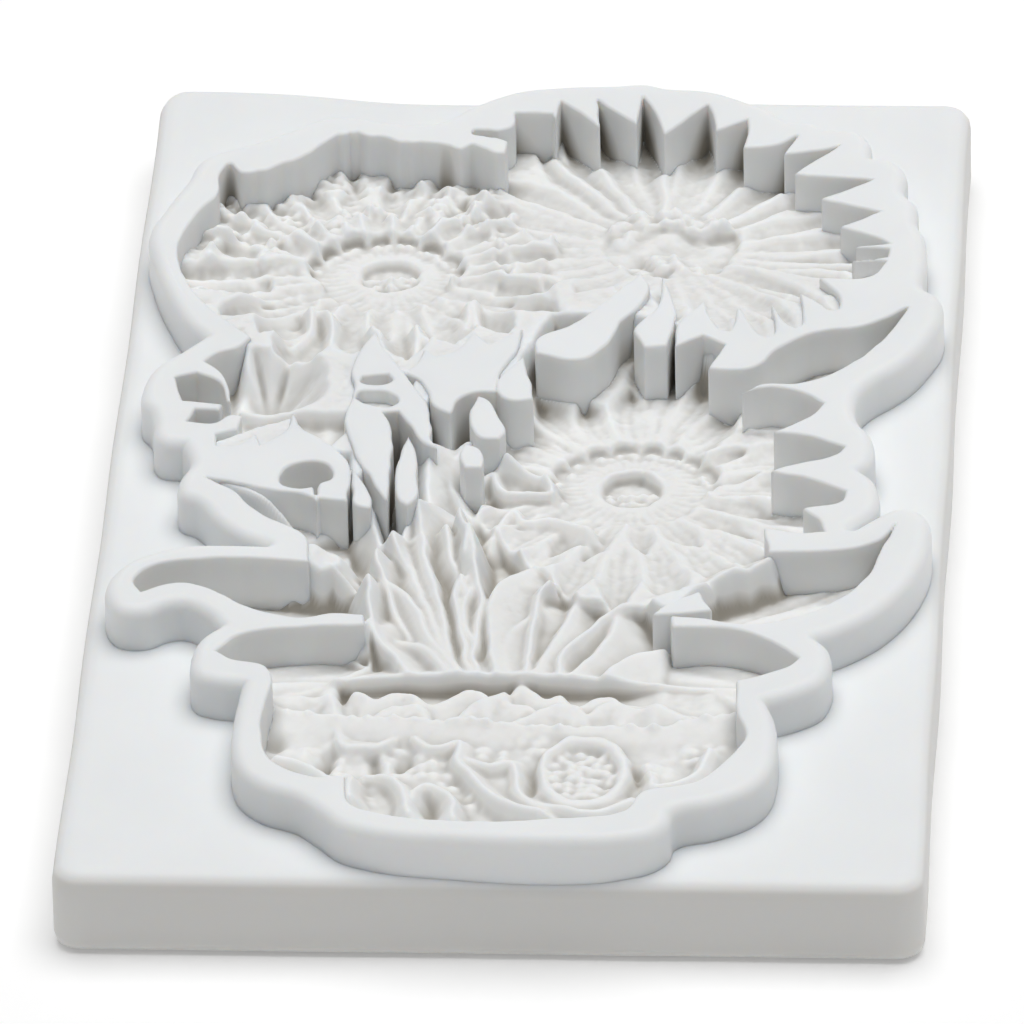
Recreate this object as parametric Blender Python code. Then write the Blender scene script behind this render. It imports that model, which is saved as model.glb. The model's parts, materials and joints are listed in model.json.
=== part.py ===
"""Silicone soap mould: a flat slab with a raised rim that follows a bouquet's silhouette.

Inside the rim lies the negative of the bouquet: three blooms, a small flower, six leaves,
a fan of grass and a pot. The real mould is one casting. Here each named region of it is
its own closed body, and neighbours stand GAP apart. Origin: middle of the underside,
+X across, +Y towards the blooms, +Z up out of the cavity. Outlines are in millimetres,
about BOUQUET_ORIGIN, which is where the bouquet's own middle lies on the slab.
"""

import math

import bmesh
import bpy
from mathutils import Matrix, Vector

MM = 0.001
WIDTH = 75.0
LENGTH = 135.0
SLAB_TOP = 7.7
RIM_TOP = SLAB_TOP + 4.2
GAP = 0.3
POCKET_FLOOR = SLAB_TOP - 4.1
BOUQUET_ORIGIN = (-0.1, 1.3)
CORNER_RADIUS = 4.0
TOP_FILLET = 1.2
CORNER_STEPS = 8
MITRE_LIMIT = 3.0
CUT_MARGIN = 2.0
SILICONE = (0.86, 0.88, 0.89, 1.0)
SILICONE_ROUGHNESS = 0.5

# Each rim stretch: outer edge, then inner edge, both clockwise seen from above. A stretch
# ends where the next one starts, and the inner edges in turn enclose the whole cavity.
RIM = {
    "rim_upper_left_bloom": (
        [(-29.8, 15.6), (-33.0, 21.5), (-35.2, 28.5), (-36.0, 34.0), (-34.7, 39.5),
         (-32.9, 45.5), (-31.0, 48.4), (-27.5, 50.5), (-24.2, 53.2), (-20.5, 55.2),
         (-15.5, 54.4), (-11.0, 54.6)],
        [(-25.4, 15.2), (-29.6, 20.4), (-31.7, 24.4), (-33.1, 30.5), (-32.2, 38.0),
         (-30.2, 43.5), (-29.0, 45.7), (-27.5, 45.4), (-23.8, 48.4), (-21.4, 49.9),
         (-19.2, 52.3), (-17.8, 51.3), (-16.2, 51.4), (-13.5, 49.9), (-10.5, 49.6)],
    ),
    "rim_upper_right_bloom": (
        [(-11.0, 54.6), (-8.0, 57.5), (-3.5, 60.6), (2.0, 61.4), (8.0, 61.9), (11.3, 60.9),
         (14.8, 60.3), (19.3, 57.3), (21.3, 55.4), (26.0, 53.8), (28.6, 52.3), (29.0, 48.8),
         (31.6, 47.6), (32.4, 44.0), (33.6, 39.7), (33.6, 37.0), (34.5, 33.0), (34.6, 25.6)],
        [(-10.5, 49.6), (-5.4, 48.8), (-4.5, 48.5), (-5.0, 50.0), (-7.3, 51.4), (-7.3, 52.8),
         (-5.6, 53.0), (-4.5, 51.3), (-3.7, 47.5), (-3.8, 55.6), (-2.4, 55.2), (-0.6, 47.5),
         (0.0, 57.6),
         (1.2, 56.4), (4.0, 47.5), (3.4, 58.0), (4.8, 56.0), (7.0, 47.5), (7.5, 58.6),
         (8.6, 55.5), (10.4, 47.5), (13.5, 57.4), (14.3, 54.0), (14.8, 46.5), (17.3, 55.2),
         (17.9, 53.6), (17.6, 50.6), (20.5, 51.8), (21.8, 52.4), (21.4, 49.8), (26.0, 50.6),
         (22.2, 45.4), (29.4, 45.1), (24.8, 41.2), (30.4, 39.6), (26.6, 36.4), (31.3, 33.0),
         (28.1, 32.1), (31.1, 31.0), (27.8, 29.6), (29.8, 26.9)],
    ),
    "rim_right_upper_leaf": (
        [(34.6, 25.6), (36.0, 24.2), (36.4, 21.0), (35.4, 16.5), (33.0, 11.8), (30.2, 8.6),
         (29.2, 5.6), (29.2, 2.8)],
        [(29.8, 26.9), (25.0, 26.7), (27.0, 21.4), (23.2, 24.0), (23.6, 17.8), (20.5, 24.0),
         (21.1, 16.0), (17.9, 21.8), (17.3, 17.2), (14.8, 22.4), (12.7, 18.6), (12.6, 14.4),
         (15.0, 16.3), (17.0, 14.8), (15.7, 10.6), (19.6, 10.8), (21.8, 14.2), (24.4, 16.8),
         (29.5, 18.5), (33.1, 21.6), (31.7, 17.5), (29.5, 13.2), (26.6, 9.9), (23.8, 8.2),
         (21.0, 8.1), (19.0, 6.8), (19.3, 5.4), (24.8, 5.9), (26.4, 4.6)],
    ),
    "rim_lower_right_bloom": (
        [(29.2, 2.8), (30.9, 0.4), (31.2, -4.0), (30.0, -6.3), (31.4, -8.4), (31.8, -13.4),
         (29.7, -16.2)],
        [(26.4, 4.6), (25.0, 2.7), (21.9, -0.2), (26.8, -0.9), (28.5, -2.3), (26.4, -4.5),
         (22.2, -6.4), (27.3, -8.0), (29.0, -9.8), (27.6, -12.3), (24.9, -12.7),
         (26.7, -15.9), (26.4, -17.3)],
    ),
    "rim_right_lower_leaf": (
        [(29.7, -16.2), (32.2, -13.6), (34.3, -12.6), (36.2, -14.4), (36.5, -18.5),
         (35.6, -24.2), (33.0, -29.2), (29.8, -32.8), (27.2, -34.7)],
        [(26.4, -17.3), (22.1, -16.5), (22.4, -20.7), (29.0, -20.1), (32.0, -18.6), (33.4, -15.7),
         (32.2, -20.0), (31.2, -24.2), (29.0, -28.2), (25.0, -31.6), (21.0, -32.8),
         (17.0, -31.9), (14.3, -31.6)],
    ),
    "rim_pot_right_leaf": (
        [(27.2, -34.7), (28.5, -37.6), (28.5, -41.2), (26.2, -43.6), (23.3, -45.2)],
        [(14.3, -31.6), (14.5, -33.4), (20.0, -33.6), (24.0, -36.2), (25.7, -38.3),
         (24.6, -39.8), (20.5, -42.2)],
    ),
    "rim_pot": (
        [(23.3, -45.2), (24.4, -50.0), (24.1, -57.0), (21.5, -60.5), (16.1, -63.2),
         (15.2, -66.2), (10.5, -68.3), (0.0, -68.1), (-9.0, -67.4), (-13.0, -65.4),
         (-15.2, -62.4), (-20.0, -59.4), (-22.3, -56.0), (-22.9, -50.0), (-22.5, -43.3)],
        [(20.5, -42.2), (20.8, -47.6), (21.7, -50.8), (20.2, -54.8), (17.6, -58.6),
         (13.2, -60.3), (11.6, -63.4), (5.0, -64.9), (-2.0, -65.4), (-8.0, -64.6),
         (-11.8, -62.8), (-12.5, -58.4), (-15.2, -58.5), (-18.8, -56.2), (-20.2, -51.5),
         (-20.2, -46.5), (-19.8, -42.4)],
    ),
    "rim_pot_left_leaf": (
        [(-22.5, -43.3), (-26.4, -42.2), (-27.2, -38.6), (-26.3, -35.2), (-25.0, -33.6)],
        [(-19.8, -42.4), (-20.6, -40.6), (-23.6, -39.5), (-25.1, -38.2), (-23.0, -35.4),
         (-19.0, -34.2), (-12.3, -33.6)],
    ),
    "rim_curled_leaf": (
        [(-25.0, -33.6), (-26.8, -31.2), (-28.8, -30.1), (-31.2, -31.6), (-34.4, -31.3),
         (-35.4, -27.0), (-34.2, -23.6), (-31.0, -21.1), (-26.5, -20.0), (-21.8, -20.1)],
        [(-12.3, -33.6), (-12.4, -31.9), (-15.4, -31.7), (-18.2, -32.5), (-22.8, -30.8),
         (-26.2, -28.0), (-29.0, -26.9), (-32.2, -28.5), (-33.0, -26.4), (-31.0, -23.8),
         (-26.0, -22.7), (-17.8, -23.2)],
    ),
    "rim_left_upper_leaf": (
        [(-21.8, -20.1), (-25.6, -17.5), (-28.2, -13.2), (-30.3, -10.2), (-29.9, -7.2),
         (-29.5, -6.2)],
        [(-17.8, -23.2), (-18.6, -18.6), (-19.4, -17.6), (-22.6, -15.2), (-25.2, -11.4),
         (-27.9, -9.4), (-24.4, -10.8), (-19.6, -12.2), (-17.9, -13.6), (-15.4, -12.5),
         (-15.9, -5.6), (-17.6, -3.0), (-20.9, 2.2), (-22.0, -1.8), (-24.2, -2.9)],
    ),
    "rim_small_flower": (
        [(-29.5, -6.2), (-30.3, -3.4), (-32.8, -2.6), (-33.3, 1.6), (-34.6, 5.0),
         (-34.3, 9.0), (-32.4, 11.8), (-31.4, 14.2), (-29.8, 15.6)],
        [(-24.2, -2.9), (-26.9, -3.9), (-27.8, -3.2), (-25.6, 0.6), (-30.2, 0.2),
         (-30.4, 1.4), (-27.9, 3.6), (-31.2, 4.6), (-31.8, 7.8), (-30.6, 8.8), (-28.2, 5.2),
         (-29.3, 10.4), (-28.6, 12.2), (-27.0, 11.4), (-25.4, 15.2)],
    ),
}

# Webs and spikes that stand free inside the cavity, up to the rim's top.
WEBS = {
    "web_upper_left": [(-15.1, 14.6), (-12.2, 10.2), (-10.2, 6.2), (-8.7, 0.0), (-8.9, -6.0),
                       (-10.4, -10.0), (-11.2, -3.0), (-13.4, 1.6), (-15.8, 0.4), (-16.4, 9.0)],
    "web_upper_middle": [(-10.4, 10.3), (-10.0, 13.8), (-8.3, 12.4), (-5.5, 17.0),
                         (-3.6, 14.6), (-0.9, 16.6), (-1.3, 13.2), (-3.9, 12.6),
                         (-5.8, 9.0), (-7.6, 3.4), (-9.2, 6.6)],
    "web_diagonal": [(0.2, 13.0), (0.1, 15.4), (3.2, 21.0), (6.7, 24.9), (8.0, 28.0),
                     (10.2, 26.8), (9.7, 22.2), (7.2, 17.8), (6.2, 14.4), (4.2, 12.0)],
    "web_prong": [(11.0, 26.6), (11.9, 22.0), (12.0, 19.0), (11.6, 14.6), (9.6, 14.2),
                  (8.5, 17.3), (10.7, 21.4)],
    "spike_back": [(-0.9, 12.3), (0.0, 8.0), (0.4, 5.0), (-2.7, 5.4), (-2.9, 8.1)],
    "spike_rough": [(-4.4, 5.2), (-2.4, 3.0), (-1.9, -0.6), (-4.9, -0.8), (-5.3, 2.6)],
    "spike_middle": [(-5.2, -3.0), (-4.2, -3.2), (-3.5, -6.2), (-5.7, -6.2)],
    "spike_front": [(-5.2, -12.3), (-4.3, -15.0), (-3.6, -21.0), (-5.2, -18.5), (-5.8, -15.2)],
    "spike_left": [(-15.1, -7.6), (-13.6, -10.2), (-12.2, -15.5), (-14.4, -17.0),
                   (-15.2, -12.0)],
    "spike_right": [(16.6, -27.4), (17.9, -30.4), (13.9, -30.4), (14.2, -29.6)],
}

# Blooms: centre, outer radius, petal count, disc radius and depths below the rim's top.
# tilt deepens the far side and lifts the near side, per millimetre of Y.
BLOOMS = {
    "floor_upper_left_bloom": dict(
        centre=(-14.4, 32.2), radius=24.0, petals=22, disc=5.6, disc_depth=5.6,
        petal_depth=4.2, tilt=0.09,
        cell=[(-40.0, 62.0), (-9.0, 62.0), (-9.0, 53.0), (-4.2, 47.5), (-4.2, 44.0),
              (1.5, 32.0), (1.5, 21.0), (-0.5, 14.0), (-10.3, 11.6), (-15.2, 15.0),
              (-23.5, 8.4), (-25.2, 15.0), (-40.0, 15.0)],
    ),
    "floor_upper_right_bloom": dict(
        centre=(10.8, 38.2), radius=25.0, petals=24, disc=5.8, disc_depth=3.2,
        petal_depth=4.6, tilt=0.07,
        cell=[(-4.2, 44.0), (-4.2, 47.5), (-9.0, 53.0), (-9.0, 62.0), (40.0, 62.0),
              (40.0, 15.5), (16.0, 15.5), (12.3, 18.4), (9.9, 20.0), (1.5, 21.0),
              (1.5, 32.0)],
    ),
    "floor_lower_right_bloom": dict(
        centre=(9.4, -0.4), radius=24.0, petals=26, disc=7.2, disc_depth=6.6,
        petal_depth=5.0, tilt=0.03,
        cell=[(-0.5, 14.0), (1.5, 21.0), (9.9, 20.0), (12.3, 18.4), (16.0, 15.5),
              (17.0, 15.5), (20.4, 10.9), (18.9, 6.8), (30.0, 7.0), (30.0, -18.0),
              (22.2, -18.0), (14.4, -23.0), (1.0, -16.0), (-8.2, -7.0)],
    ),
}
DISC_CRATER = 0.36
CRATER_EXTRA = 0.7
PETAL_WAVE = 0.7
STEPS_PER_PETAL = 6
LAYER_RADII = (0.34, 0.36, 0.5, 0.52, 0.68, 0.7, 0.85, 1.0)
LAYER_STEP = 0.45

GRASS_BASE = (-2.9, -37.4)
GRASS_REACH = 44.0
GRASS_BLADES = 24
GRASS_DEPTH = 2.4
GRASS_DEEPENS = 0.12
GRASS_CELL = [(-22.0, 2.0), (-16.6, 9.0), (-15.2, 15.0), (-10.3, 11.6), (-8.2, -7.0),
              (1.0, -16.0), (14.4, -23.0), (13.8, -37.6), (-11.0, -37.6), (-14.2, -33.2),
              (-14.2, -23.6), (-15.0, -12.0), (-15.6, -5.0)]

SMALL_FLOWER_CENTRE = (-24.0, 6.0)
SMALL_FLOWER_CELL = [(-25.2, 15.0), (-23.5, 8.4), (-15.2, 15.0), (-16.6, 9.0),
                     (-22.0, 2.0), (-24.0, -6.0), (-40.0, -6.0), (-40.0, 15.0)]
SMALL_FLOWER_DEPTH = 4.8

# Leaves: cell, the midrib's two ends, and depth.
LEAVES = {
    "floor_right_upper_leaf": (
        [(20.4, 10.9), (20.4, 22.5), (36.0, 22.5), (36.0, 6.0), (18.9, 6.8)],
        (20.5, 9.0), (32.6, 20.6), 4.5),
    "floor_right_lower_leaf": (
        [(14.4, -23.0), (22.2, -18.0), (36.0, -14.0), (36.0, -33.4), (14.2, -33.4)],
        (16.0, -28.0), (32.8, -17.6), 4.4),
    "floor_pot_right_leaf": (
        [(14.2, -31.0), (30.0, -31.0), (30.0, -41.6), (20.6, -41.6), (13.8, -37.6)],
        (14.6, -36.4), (25.0, -38.2), 3.9),
    "floor_pot_left_leaf": (
        [(-30.0, -33.2), (-14.2, -33.2), (-11.0, -37.6), (-19.9, -41.8), (-30.0, -41.8)],
        (-12.0, -36.4), (-24.6, -37.6), 3.9),
    "floor_curled_leaf": (
        [(-36.0, -20.0), (-17.8, -23.0), (-14.2, -23.6), (-14.2, -33.2), (-36.0, -33.2)],
        (-15.0, -28.6), (-32.4, -26.8), 4.7),
    "floor_left_upper_leaf": (
        [(-30.0, -8.0), (-15.0, -12.0), (-14.2, -23.6), (-17.8, -23.0), (-30.0, -17.0)],
        (-16.2, -19.0), (-27.0, -10.0), 4.5),
}
VEIN_RISE = 0.35
LEAF_STEP = 0.8

POT_CELL = [(-19.9, -41.8), (-11.0, -37.6), (13.8, -37.6), (20.6, -41.6), (24.0, -45.0),
            (24.0, -67.0), (-24.0, -67.0), (-24.0, -43.0)]
POT_TOP_DEPTH = 4.3
POT_BOTTOM_DEPTH = 3.2
POT_BAND_WIDTH = 4.5
POT_BAND_EXTRA = 0.5
POT_ROSE = (7.6, -50.2)
POT_ROSE_RADIUS = 5.2
POT_ROSE_EXTRA = 0.9
POT_WEAVE = 0.3
POT_WEAVE_PITCH = 3.6
POT_STEP = 1.0

# The bud is a round hollow with a slit, sunk in the web beside the left leaf.
BUD_CENTRE = (-19.0, -8.7)
BUD_RADIUS = 2.2
BUD_DEPTH = 5.0


def clear_scene():
    for obj in list(bpy.data.objects):
        bpy.data.objects.remove(obj, do_unlink=True)


def new_collection(name, hidden=False):
    collection = bpy.data.collections.new(name)
    bpy.context.scene.collection.children.link(collection)
    collection.hide_render = hidden
    return collection


def silicone(name):
    material = bpy.data.materials.new(name)
    material.use_nodes = True
    shader = material.node_tree.nodes["Principled BSDF"]
    shader.inputs["Base Color"].default_value = SILICONE
    shader.inputs["Roughness"].default_value = SILICONE_ROUGHNESS
    shader.inputs["Metallic"].default_value = 0.0
    return material


def finished(name, mesh, collection):
    """The bouquet's mesh put in its place, with its own material, or as a wire cutter."""
    mesh.transform(Matrix.Translation((BOUQUET_ORIGIN[0] * MM, BOUQUET_ORIGIN[1] * MM, 0.0)))
    obj = bpy.data.objects.new(name, mesh)
    collection.objects.link(obj)
    if collection.hide_render:
        obj.hide_render = True
        obj.display_type = "WIRE"
    else:
        mesh.materials.append(silicone(name + "_silicone"))
    return obj


def area(outline):
    return 0.5 * sum(
        a[0] * b[1] - b[0] * a[1] for a, b in zip(outline, outline[1:] + outline[:1])
    )


def offset(outline, distance):
    """The outline moved outwards by distance, or inwards if it is negative."""
    side = 1.0 if area(outline) > 0 else -1.0
    moved = []
    count = len(outline)
    for i, point in enumerate(outline):
        here = Vector(point)
        before = (here - Vector(outline[i - 1])).normalized()
        after = (Vector(outline[(i + 1) % count]) - here).normalized()
        normal_before = Vector((before.y, -before.x)) * side
        normal_after = Vector((after.y, -after.x)) * side
        bisector = (normal_before + normal_after).normalized()
        stretch = 1.0 / max(bisector.dot(normal_after), 1.0 / MITRE_LIMIT)
        moved.append(tuple(here + bisector * distance * stretch))
    return moved


def towards(point, other, distance):
    start = Vector(point)
    return tuple(start + (Vector(other) - start).normalized() * distance)


def prism(name, outline, bottom, top, collection):
    """A closed upright solid over a flat outline."""
    curve = bpy.data.curves.new(name + "_outline", "CURVE")
    curve.dimensions = "2D"
    curve.fill_mode = "BOTH"
    curve.extrude = (top - bottom) / 2 * MM
    spline = curve.splines.new("POLY")
    spline.points.add(len(outline) - 1)
    for point, (x, y) in zip(spline.points, outline):
        point.co = (x * MM, y * MM, 0.0, 1.0)
    spline.use_cyclic_u = True
    drawn = bpy.data.objects.new(name + "_drawn", curve)
    collection.objects.link(drawn)
    graph = bpy.context.evaluated_depsgraph_get()
    mesh = bpy.data.meshes.new_from_object(drawn.evaluated_get(graph))
    mesh.name = name
    bpy.data.objects.remove(drawn, do_unlink=True)
    shape = bmesh.new()
    shape.from_mesh(mesh)
    bmesh.ops.remove_doubles(shape, verts=shape.verts, dist=1e-6)
    bmesh.ops.translate(shape, verts=shape.verts, vec=(0.0, 0.0, (top + bottom) / 2 * MM))
    bmesh.ops.recalc_face_normals(shape, faces=shape.faces)
    shape.to_mesh(mesh)
    shape.free()
    mesh.materials.clear()
    return finished(name, mesh, collection)


def boolean(obj, cutter, operation):
    """Applies one exact Boolean and keeps the result as the object's mesh."""
    modifier = obj.modifiers.new(cutter.name, "BOOLEAN")
    modifier.operation = operation
    modifier.solver = "EXACT"
    modifier.object = cutter
    graph = bpy.context.evaluated_depsgraph_get()
    mesh = bpy.data.meshes.new_from_object(obj.evaluated_get(graph))
    obj.modifiers.remove(modifier)
    obj.data = mesh


def keep_largest_body(obj):
    """Drops the slivers that a cell's corner can leave in a neighbour's notch."""
    shape = bmesh.new()
    shape.from_mesh(obj.data)
    left = set(shape.faces)
    bodies = []
    while left:
        body = {left.pop()}
        edge_of_body = list(body)
        while edge_of_body:
            face = edge_of_body.pop()
            beside = {other for edge in face.edges for other in edge.link_faces} & left
            left -= beside
            body |= beside
            edge_of_body += beside
        bodies.append(body)
    bodies.sort(key=lambda body: sum(face.calc_area() for face in body))
    for body in bodies[:-1]:
        bmesh.ops.delete(shape, geom=list(body), context="FACES")
    shape.to_mesh(obj.data)
    shape.free()


def relief(name, shape, depth, collection):
    """Turns a flat sheet of faces into a solid whose top lies depth(x, y) below the rim."""
    for vertex in shape.verts:
        x, y = vertex.co.x / MM, vertex.co.y / MM
        vertex.co.z = (RIM_TOP - depth(x, y)) * MM
    made = bmesh.ops.extrude_face_region(shape, geom=shape.faces[:])
    for vertex in made["geom"]:
        if isinstance(vertex, bmesh.types.BMVert):
            vertex.co.z = (POCKET_FLOOR + GAP) * MM
    bmesh.ops.recalc_face_normals(shape, faces=shape.faces)
    mesh = bpy.data.meshes.new(name)
    shape.to_mesh(mesh)
    shape.free()
    return finished(name, mesh, collection)


def polar_sheet(centre, radii, steps):
    """A round sheet of faces about centre, with a ring of vertices at each radius."""
    shape = bmesh.new()
    spoke = [shape.verts.new((r * MM, 0.0, 0.0)) for r in radii]
    edges = [shape.edges.new(pair) for pair in zip(spoke, spoke[1:])]
    bmesh.ops.spin(shape, geom=spoke + edges, cent=(0.0, 0.0, 0.0), axis=(0.0, 0.0, 1.0),
                   angle=math.tau, steps=steps, use_duplicate=False)
    bmesh.ops.remove_doubles(shape, verts=shape.verts, dist=1e-6)
    bmesh.ops.translate(shape, verts=shape.verts, vec=(centre[0] * MM, centre[1] * MM, 0.0))
    return shape


def box_sheet(outline, step):
    """A rectangular sheet of square faces that covers the outline."""
    xs = [p[0] for p in outline]
    ys = [p[1] for p in outline]
    wide, deep = max(xs) - min(xs), max(ys) - min(ys)
    shape = bmesh.new()
    bmesh.ops.create_grid(shape, x_segments=round(wide / step), y_segments=round(deep / step),
                          size=0.5)
    bmesh.ops.scale(shape, verts=shape.verts, vec=(wide * MM, deep * MM, 1.0))
    middle = ((max(xs) + min(xs)) / 2 * MM, (max(ys) + min(ys)) / 2 * MM, 0.0)
    bmesh.ops.translate(shape, verts=shape.verts, vec=middle)
    return shape


def bloom_depth(bloom):
    """Depth of a bloom's negative: ringed petals round a disc with a deeper crater."""
    cx, cy = bloom["centre"]
    radius, disc = bloom["radius"], bloom["disc"]

    def depth(x, y):
        r = math.hypot(x - cx, y - cy)
        turn = math.atan2(y - cy, x - cx)
        if r < disc * DISC_CRATER:
            return bloom["disc_depth"] + CRATER_EXTRA
        if r < disc:
            return bloom["disc_depth"]
        layer = sum(r / radius > edge for edge in LAYER_RADII[1::2])
        petal = abs(math.cos((turn * bloom["petals"] + layer * math.pi) / 2))
        share = min(r / radius, 1.0)
        tilted = bloom["petal_depth"] + bloom["tilt"] * (y - cy)
        return tilted + PETAL_WAVE * (petal - 0.5) * share + LAYER_STEP * (layer % 2)

    return depth


def make_bloom(name, bloom, collection):
    disc = bloom["disc"]
    crater = disc * DISC_CRATER
    radii = [0.0, crater - 0.05, crater + 0.05, disc - 0.05, disc + 0.05]
    radii += [share * bloom["radius"] for share in LAYER_RADII if share * bloom["radius"] > disc]
    sheet = polar_sheet(bloom["centre"], radii, bloom["petals"] * STEPS_PER_PETAL)
    return relief(name, sheet, bloom_depth(bloom), collection)


def make_grass(collection):
    bx, by = GRASS_BASE

    def depth(x, y):
        r = math.hypot(x - bx, y - by)
        turn = math.atan2(y - by, x - bx)
        blade = abs(math.cos(turn * GRASS_BLADES))
        return GRASS_DEPTH + GRASS_DEEPENS * min(r, 28.0) + (0.2 + 0.04 * r) * (blade - 0.5)

    steps = 8
    radii = [GRASS_REACH * (i / steps) for i in range(steps + 1)]
    radii[-1] = GRASS_REACH + 16.0
    sheet = polar_sheet(GRASS_BASE, radii, GRASS_BLADES * 8)
    return relief("floor_grass", sheet, depth, collection)


def make_small_flower(collection):
    cx, cy = SMALL_FLOWER_CENTRE

    def depth(x, y):
        r = math.hypot(x - cx, y - cy)
        turn = math.atan2(y - cy, x - cx)
        return SMALL_FLOWER_DEPTH - 0.6 * abs(math.sin(turn * 2.5)) * min(r / 6.0, 1.0)

    sheet = polar_sheet(SMALL_FLOWER_CENTRE, [0.0, 1.5, 4.0, 7.0, 10.0, 18.0], 40)
    return relief("floor_small_flower", sheet, depth, collection)


def make_leaf(name, leaf, collection):
    cell, root, tip, deepest = leaf
    rib = (Vector(tip) - Vector(root)).normalized()

    def depth(x, y):
        across = (Vector((x, y)) - Vector(root)).cross(rib)
        return deepest - VEIN_RISE * min(abs(across), 1.6)

    return relief(name, box_sheet(cell, LEAF_STEP), depth, collection)


def make_pot(collection):
    top = max(y for _, y in POT_CELL)
    bottom = min(y for _, y in POT_CELL)

    def depth(x, y):
        share = (top - y) / (top - bottom)
        level = POT_TOP_DEPTH + share * (POT_BOTTOM_DEPTH - POT_TOP_DEPTH)
        if top - y < POT_BAND_WIDTH:
            return level + POT_BAND_EXTRA
        from_rose = math.hypot(x - POT_ROSE[0], y - POT_ROSE[1])
        if from_rose < POT_ROSE_RADIUS:
            return level + POT_ROSE_EXTRA * (1.0 - from_rose / POT_ROSE_RADIUS / 2)
        turn = math.tau / POT_WEAVE_PITCH
        return level + POT_WEAVE * math.sin(x * turn) * math.sin(y * turn)

    return relief("floor_pot", box_sheet(POT_CELL, POT_STEP), depth, collection)


def make_slab(collection):
    bpy.ops.mesh.primitive_cube_add(size=1.0)
    slab = bpy.context.active_object
    slab.name = "base_slab"
    slab.data.name = "base_slab"
    for owner in list(slab.users_collection):
        owner.objects.unlink(slab)
    collection.objects.link(slab)
    slab.data.materials.append(silicone("base_slab_silicone"))
    shape = bmesh.new()
    shape.from_mesh(slab.data)
    bmesh.ops.scale(shape, verts=shape.verts, vec=(WIDTH * MM, LENGTH * MM, SLAB_TOP * MM))
    bmesh.ops.translate(shape, verts=shape.verts, vec=(0.0, 0.0, SLAB_TOP / 2 * MM))
    upright = [e for e in shape.edges if abs(e.verts[0].co.z - e.verts[1].co.z) > MM]
    bmesh.ops.bevel(shape, geom=upright, offset=CORNER_RADIUS * MM, segments=CORNER_STEPS,
                    profile=0.5, affect="EDGES")
    top_edges = [e for e in shape.edges
                 if all(v.co.z > (SLAB_TOP - 0.01) * MM for v in e.verts)]
    bmesh.ops.bevel(shape, geom=top_edges, offset=TOP_FILLET * MM, segments=3, profile=0.5,
                    affect="EDGES")
    shape.to_mesh(slab.data)
    shape.free()
    return slab


def make_rims(collection):
    """Every stretch of the rim, its ends drawn back so that neighbours stay GAP apart."""
    for name, (outer, inner) in RIM.items():
        outer, inner = list(outer), list(inner)
        for edge in (outer, inner):
            first = towards(edge[0], edge[1], GAP / 2)
            last = towards(edge[-1], edge[-2], GAP / 2)
            edge[0], edge[-1] = first, last
        prism(name, outer + inner[::-1], SLAB_TOP + GAP, RIM_TOP, collection)


def cavity_outline():
    points = []
    for _, inner in RIM.values():
        points += inner[:-1]
    return points


def bud_cutter(cutters):
    x = (BOUQUET_ORIGIN[0] + BUD_CENTRE[0]) * MM
    y = (BOUQUET_ORIGIN[1] + BUD_CENTRE[1]) * MM
    bpy.ops.mesh.primitive_cylinder_add(
        vertices=24, radius=BUD_RADIUS * MM, depth=2 * BUD_DEPTH * MM,
        location=(x, y, RIM_TOP * MM))
    cutter = bpy.context.active_object
    cutter.name = "cut_bud"
    for owner in list(cutter.users_collection):
        owner.objects.unlink(cutter)
    cutters.objects.link(cutter)
    cutter.hide_render = True
    cutter.display_type = "WIRE"
    return cutter


def main():
    clear_scene()
    mould = new_collection("soap_mould")
    cutters = new_collection("cutters", hidden=True)

    slab = make_slab(mould)
    pocket = prism("cut_pocket", cavity_outline(), POCKET_FLOOR, SLAB_TOP + CUT_MARGIN, cutters)
    boolean(slab, pocket, "DIFFERENCE")

    make_rims(mould)
    boolean(mould.objects["rim_left_upper_leaf"], bud_cutter(cutters), "DIFFERENCE")

    for name, outline in WEBS.items():
        prism(name, outline, POCKET_FLOOR + GAP, RIM_TOP, mould)

    floors = [
        (make_bloom(name, bloom, mould), bloom["cell"]) for name, bloom in BLOOMS.items()
    ]
    floors.append((make_grass(mould), GRASS_CELL))
    floors.append((make_small_flower(mould), SMALL_FLOWER_CELL))
    floors += [(make_leaf(name, leaf, mould), leaf[0]) for name, leaf in LEAVES.items()]
    floors.append((make_pot(mould), POT_CELL))

    inside = prism("cut_inside", offset(cavity_outline(), -GAP), 0.0, RIM_TOP + CUT_MARGIN,
                   cutters)
    for name, outline in WEBS.items():
        web = prism("cut_" + name, offset(outline, GAP), -CUT_MARGIN, RIM_TOP + 2 * CUT_MARGIN,
                    cutters)
        boolean(inside, web, "DIFFERENCE")
    for floor, cell in floors:
        room = prism("room_" + floor.name, offset(cell, -GAP / 2), 1.0, RIM_TOP + 1.0, cutters)
        boolean(room, inside, "INTERSECT")
        keep_largest_body(room)
        boolean(floor, room, "INTERSECT")


main()
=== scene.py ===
"""Looks of the silicone soap mould: slab, rim, webs and the relief inside the rim.

The bouquet is drawn in millimetres about its own origin, seen from above. A point of the
relief lies depth below the rim's flat top. The rim is cut out of a fine grid along its
smooth outlines, and the relief is a height field that petals deepen and blades raise.
"""

import json
import math

import bmesh
import bpy
import numpy as np
from mathutils import Matrix, Vector
from mathutils.geometry import delaunay_2d_cdt

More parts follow.
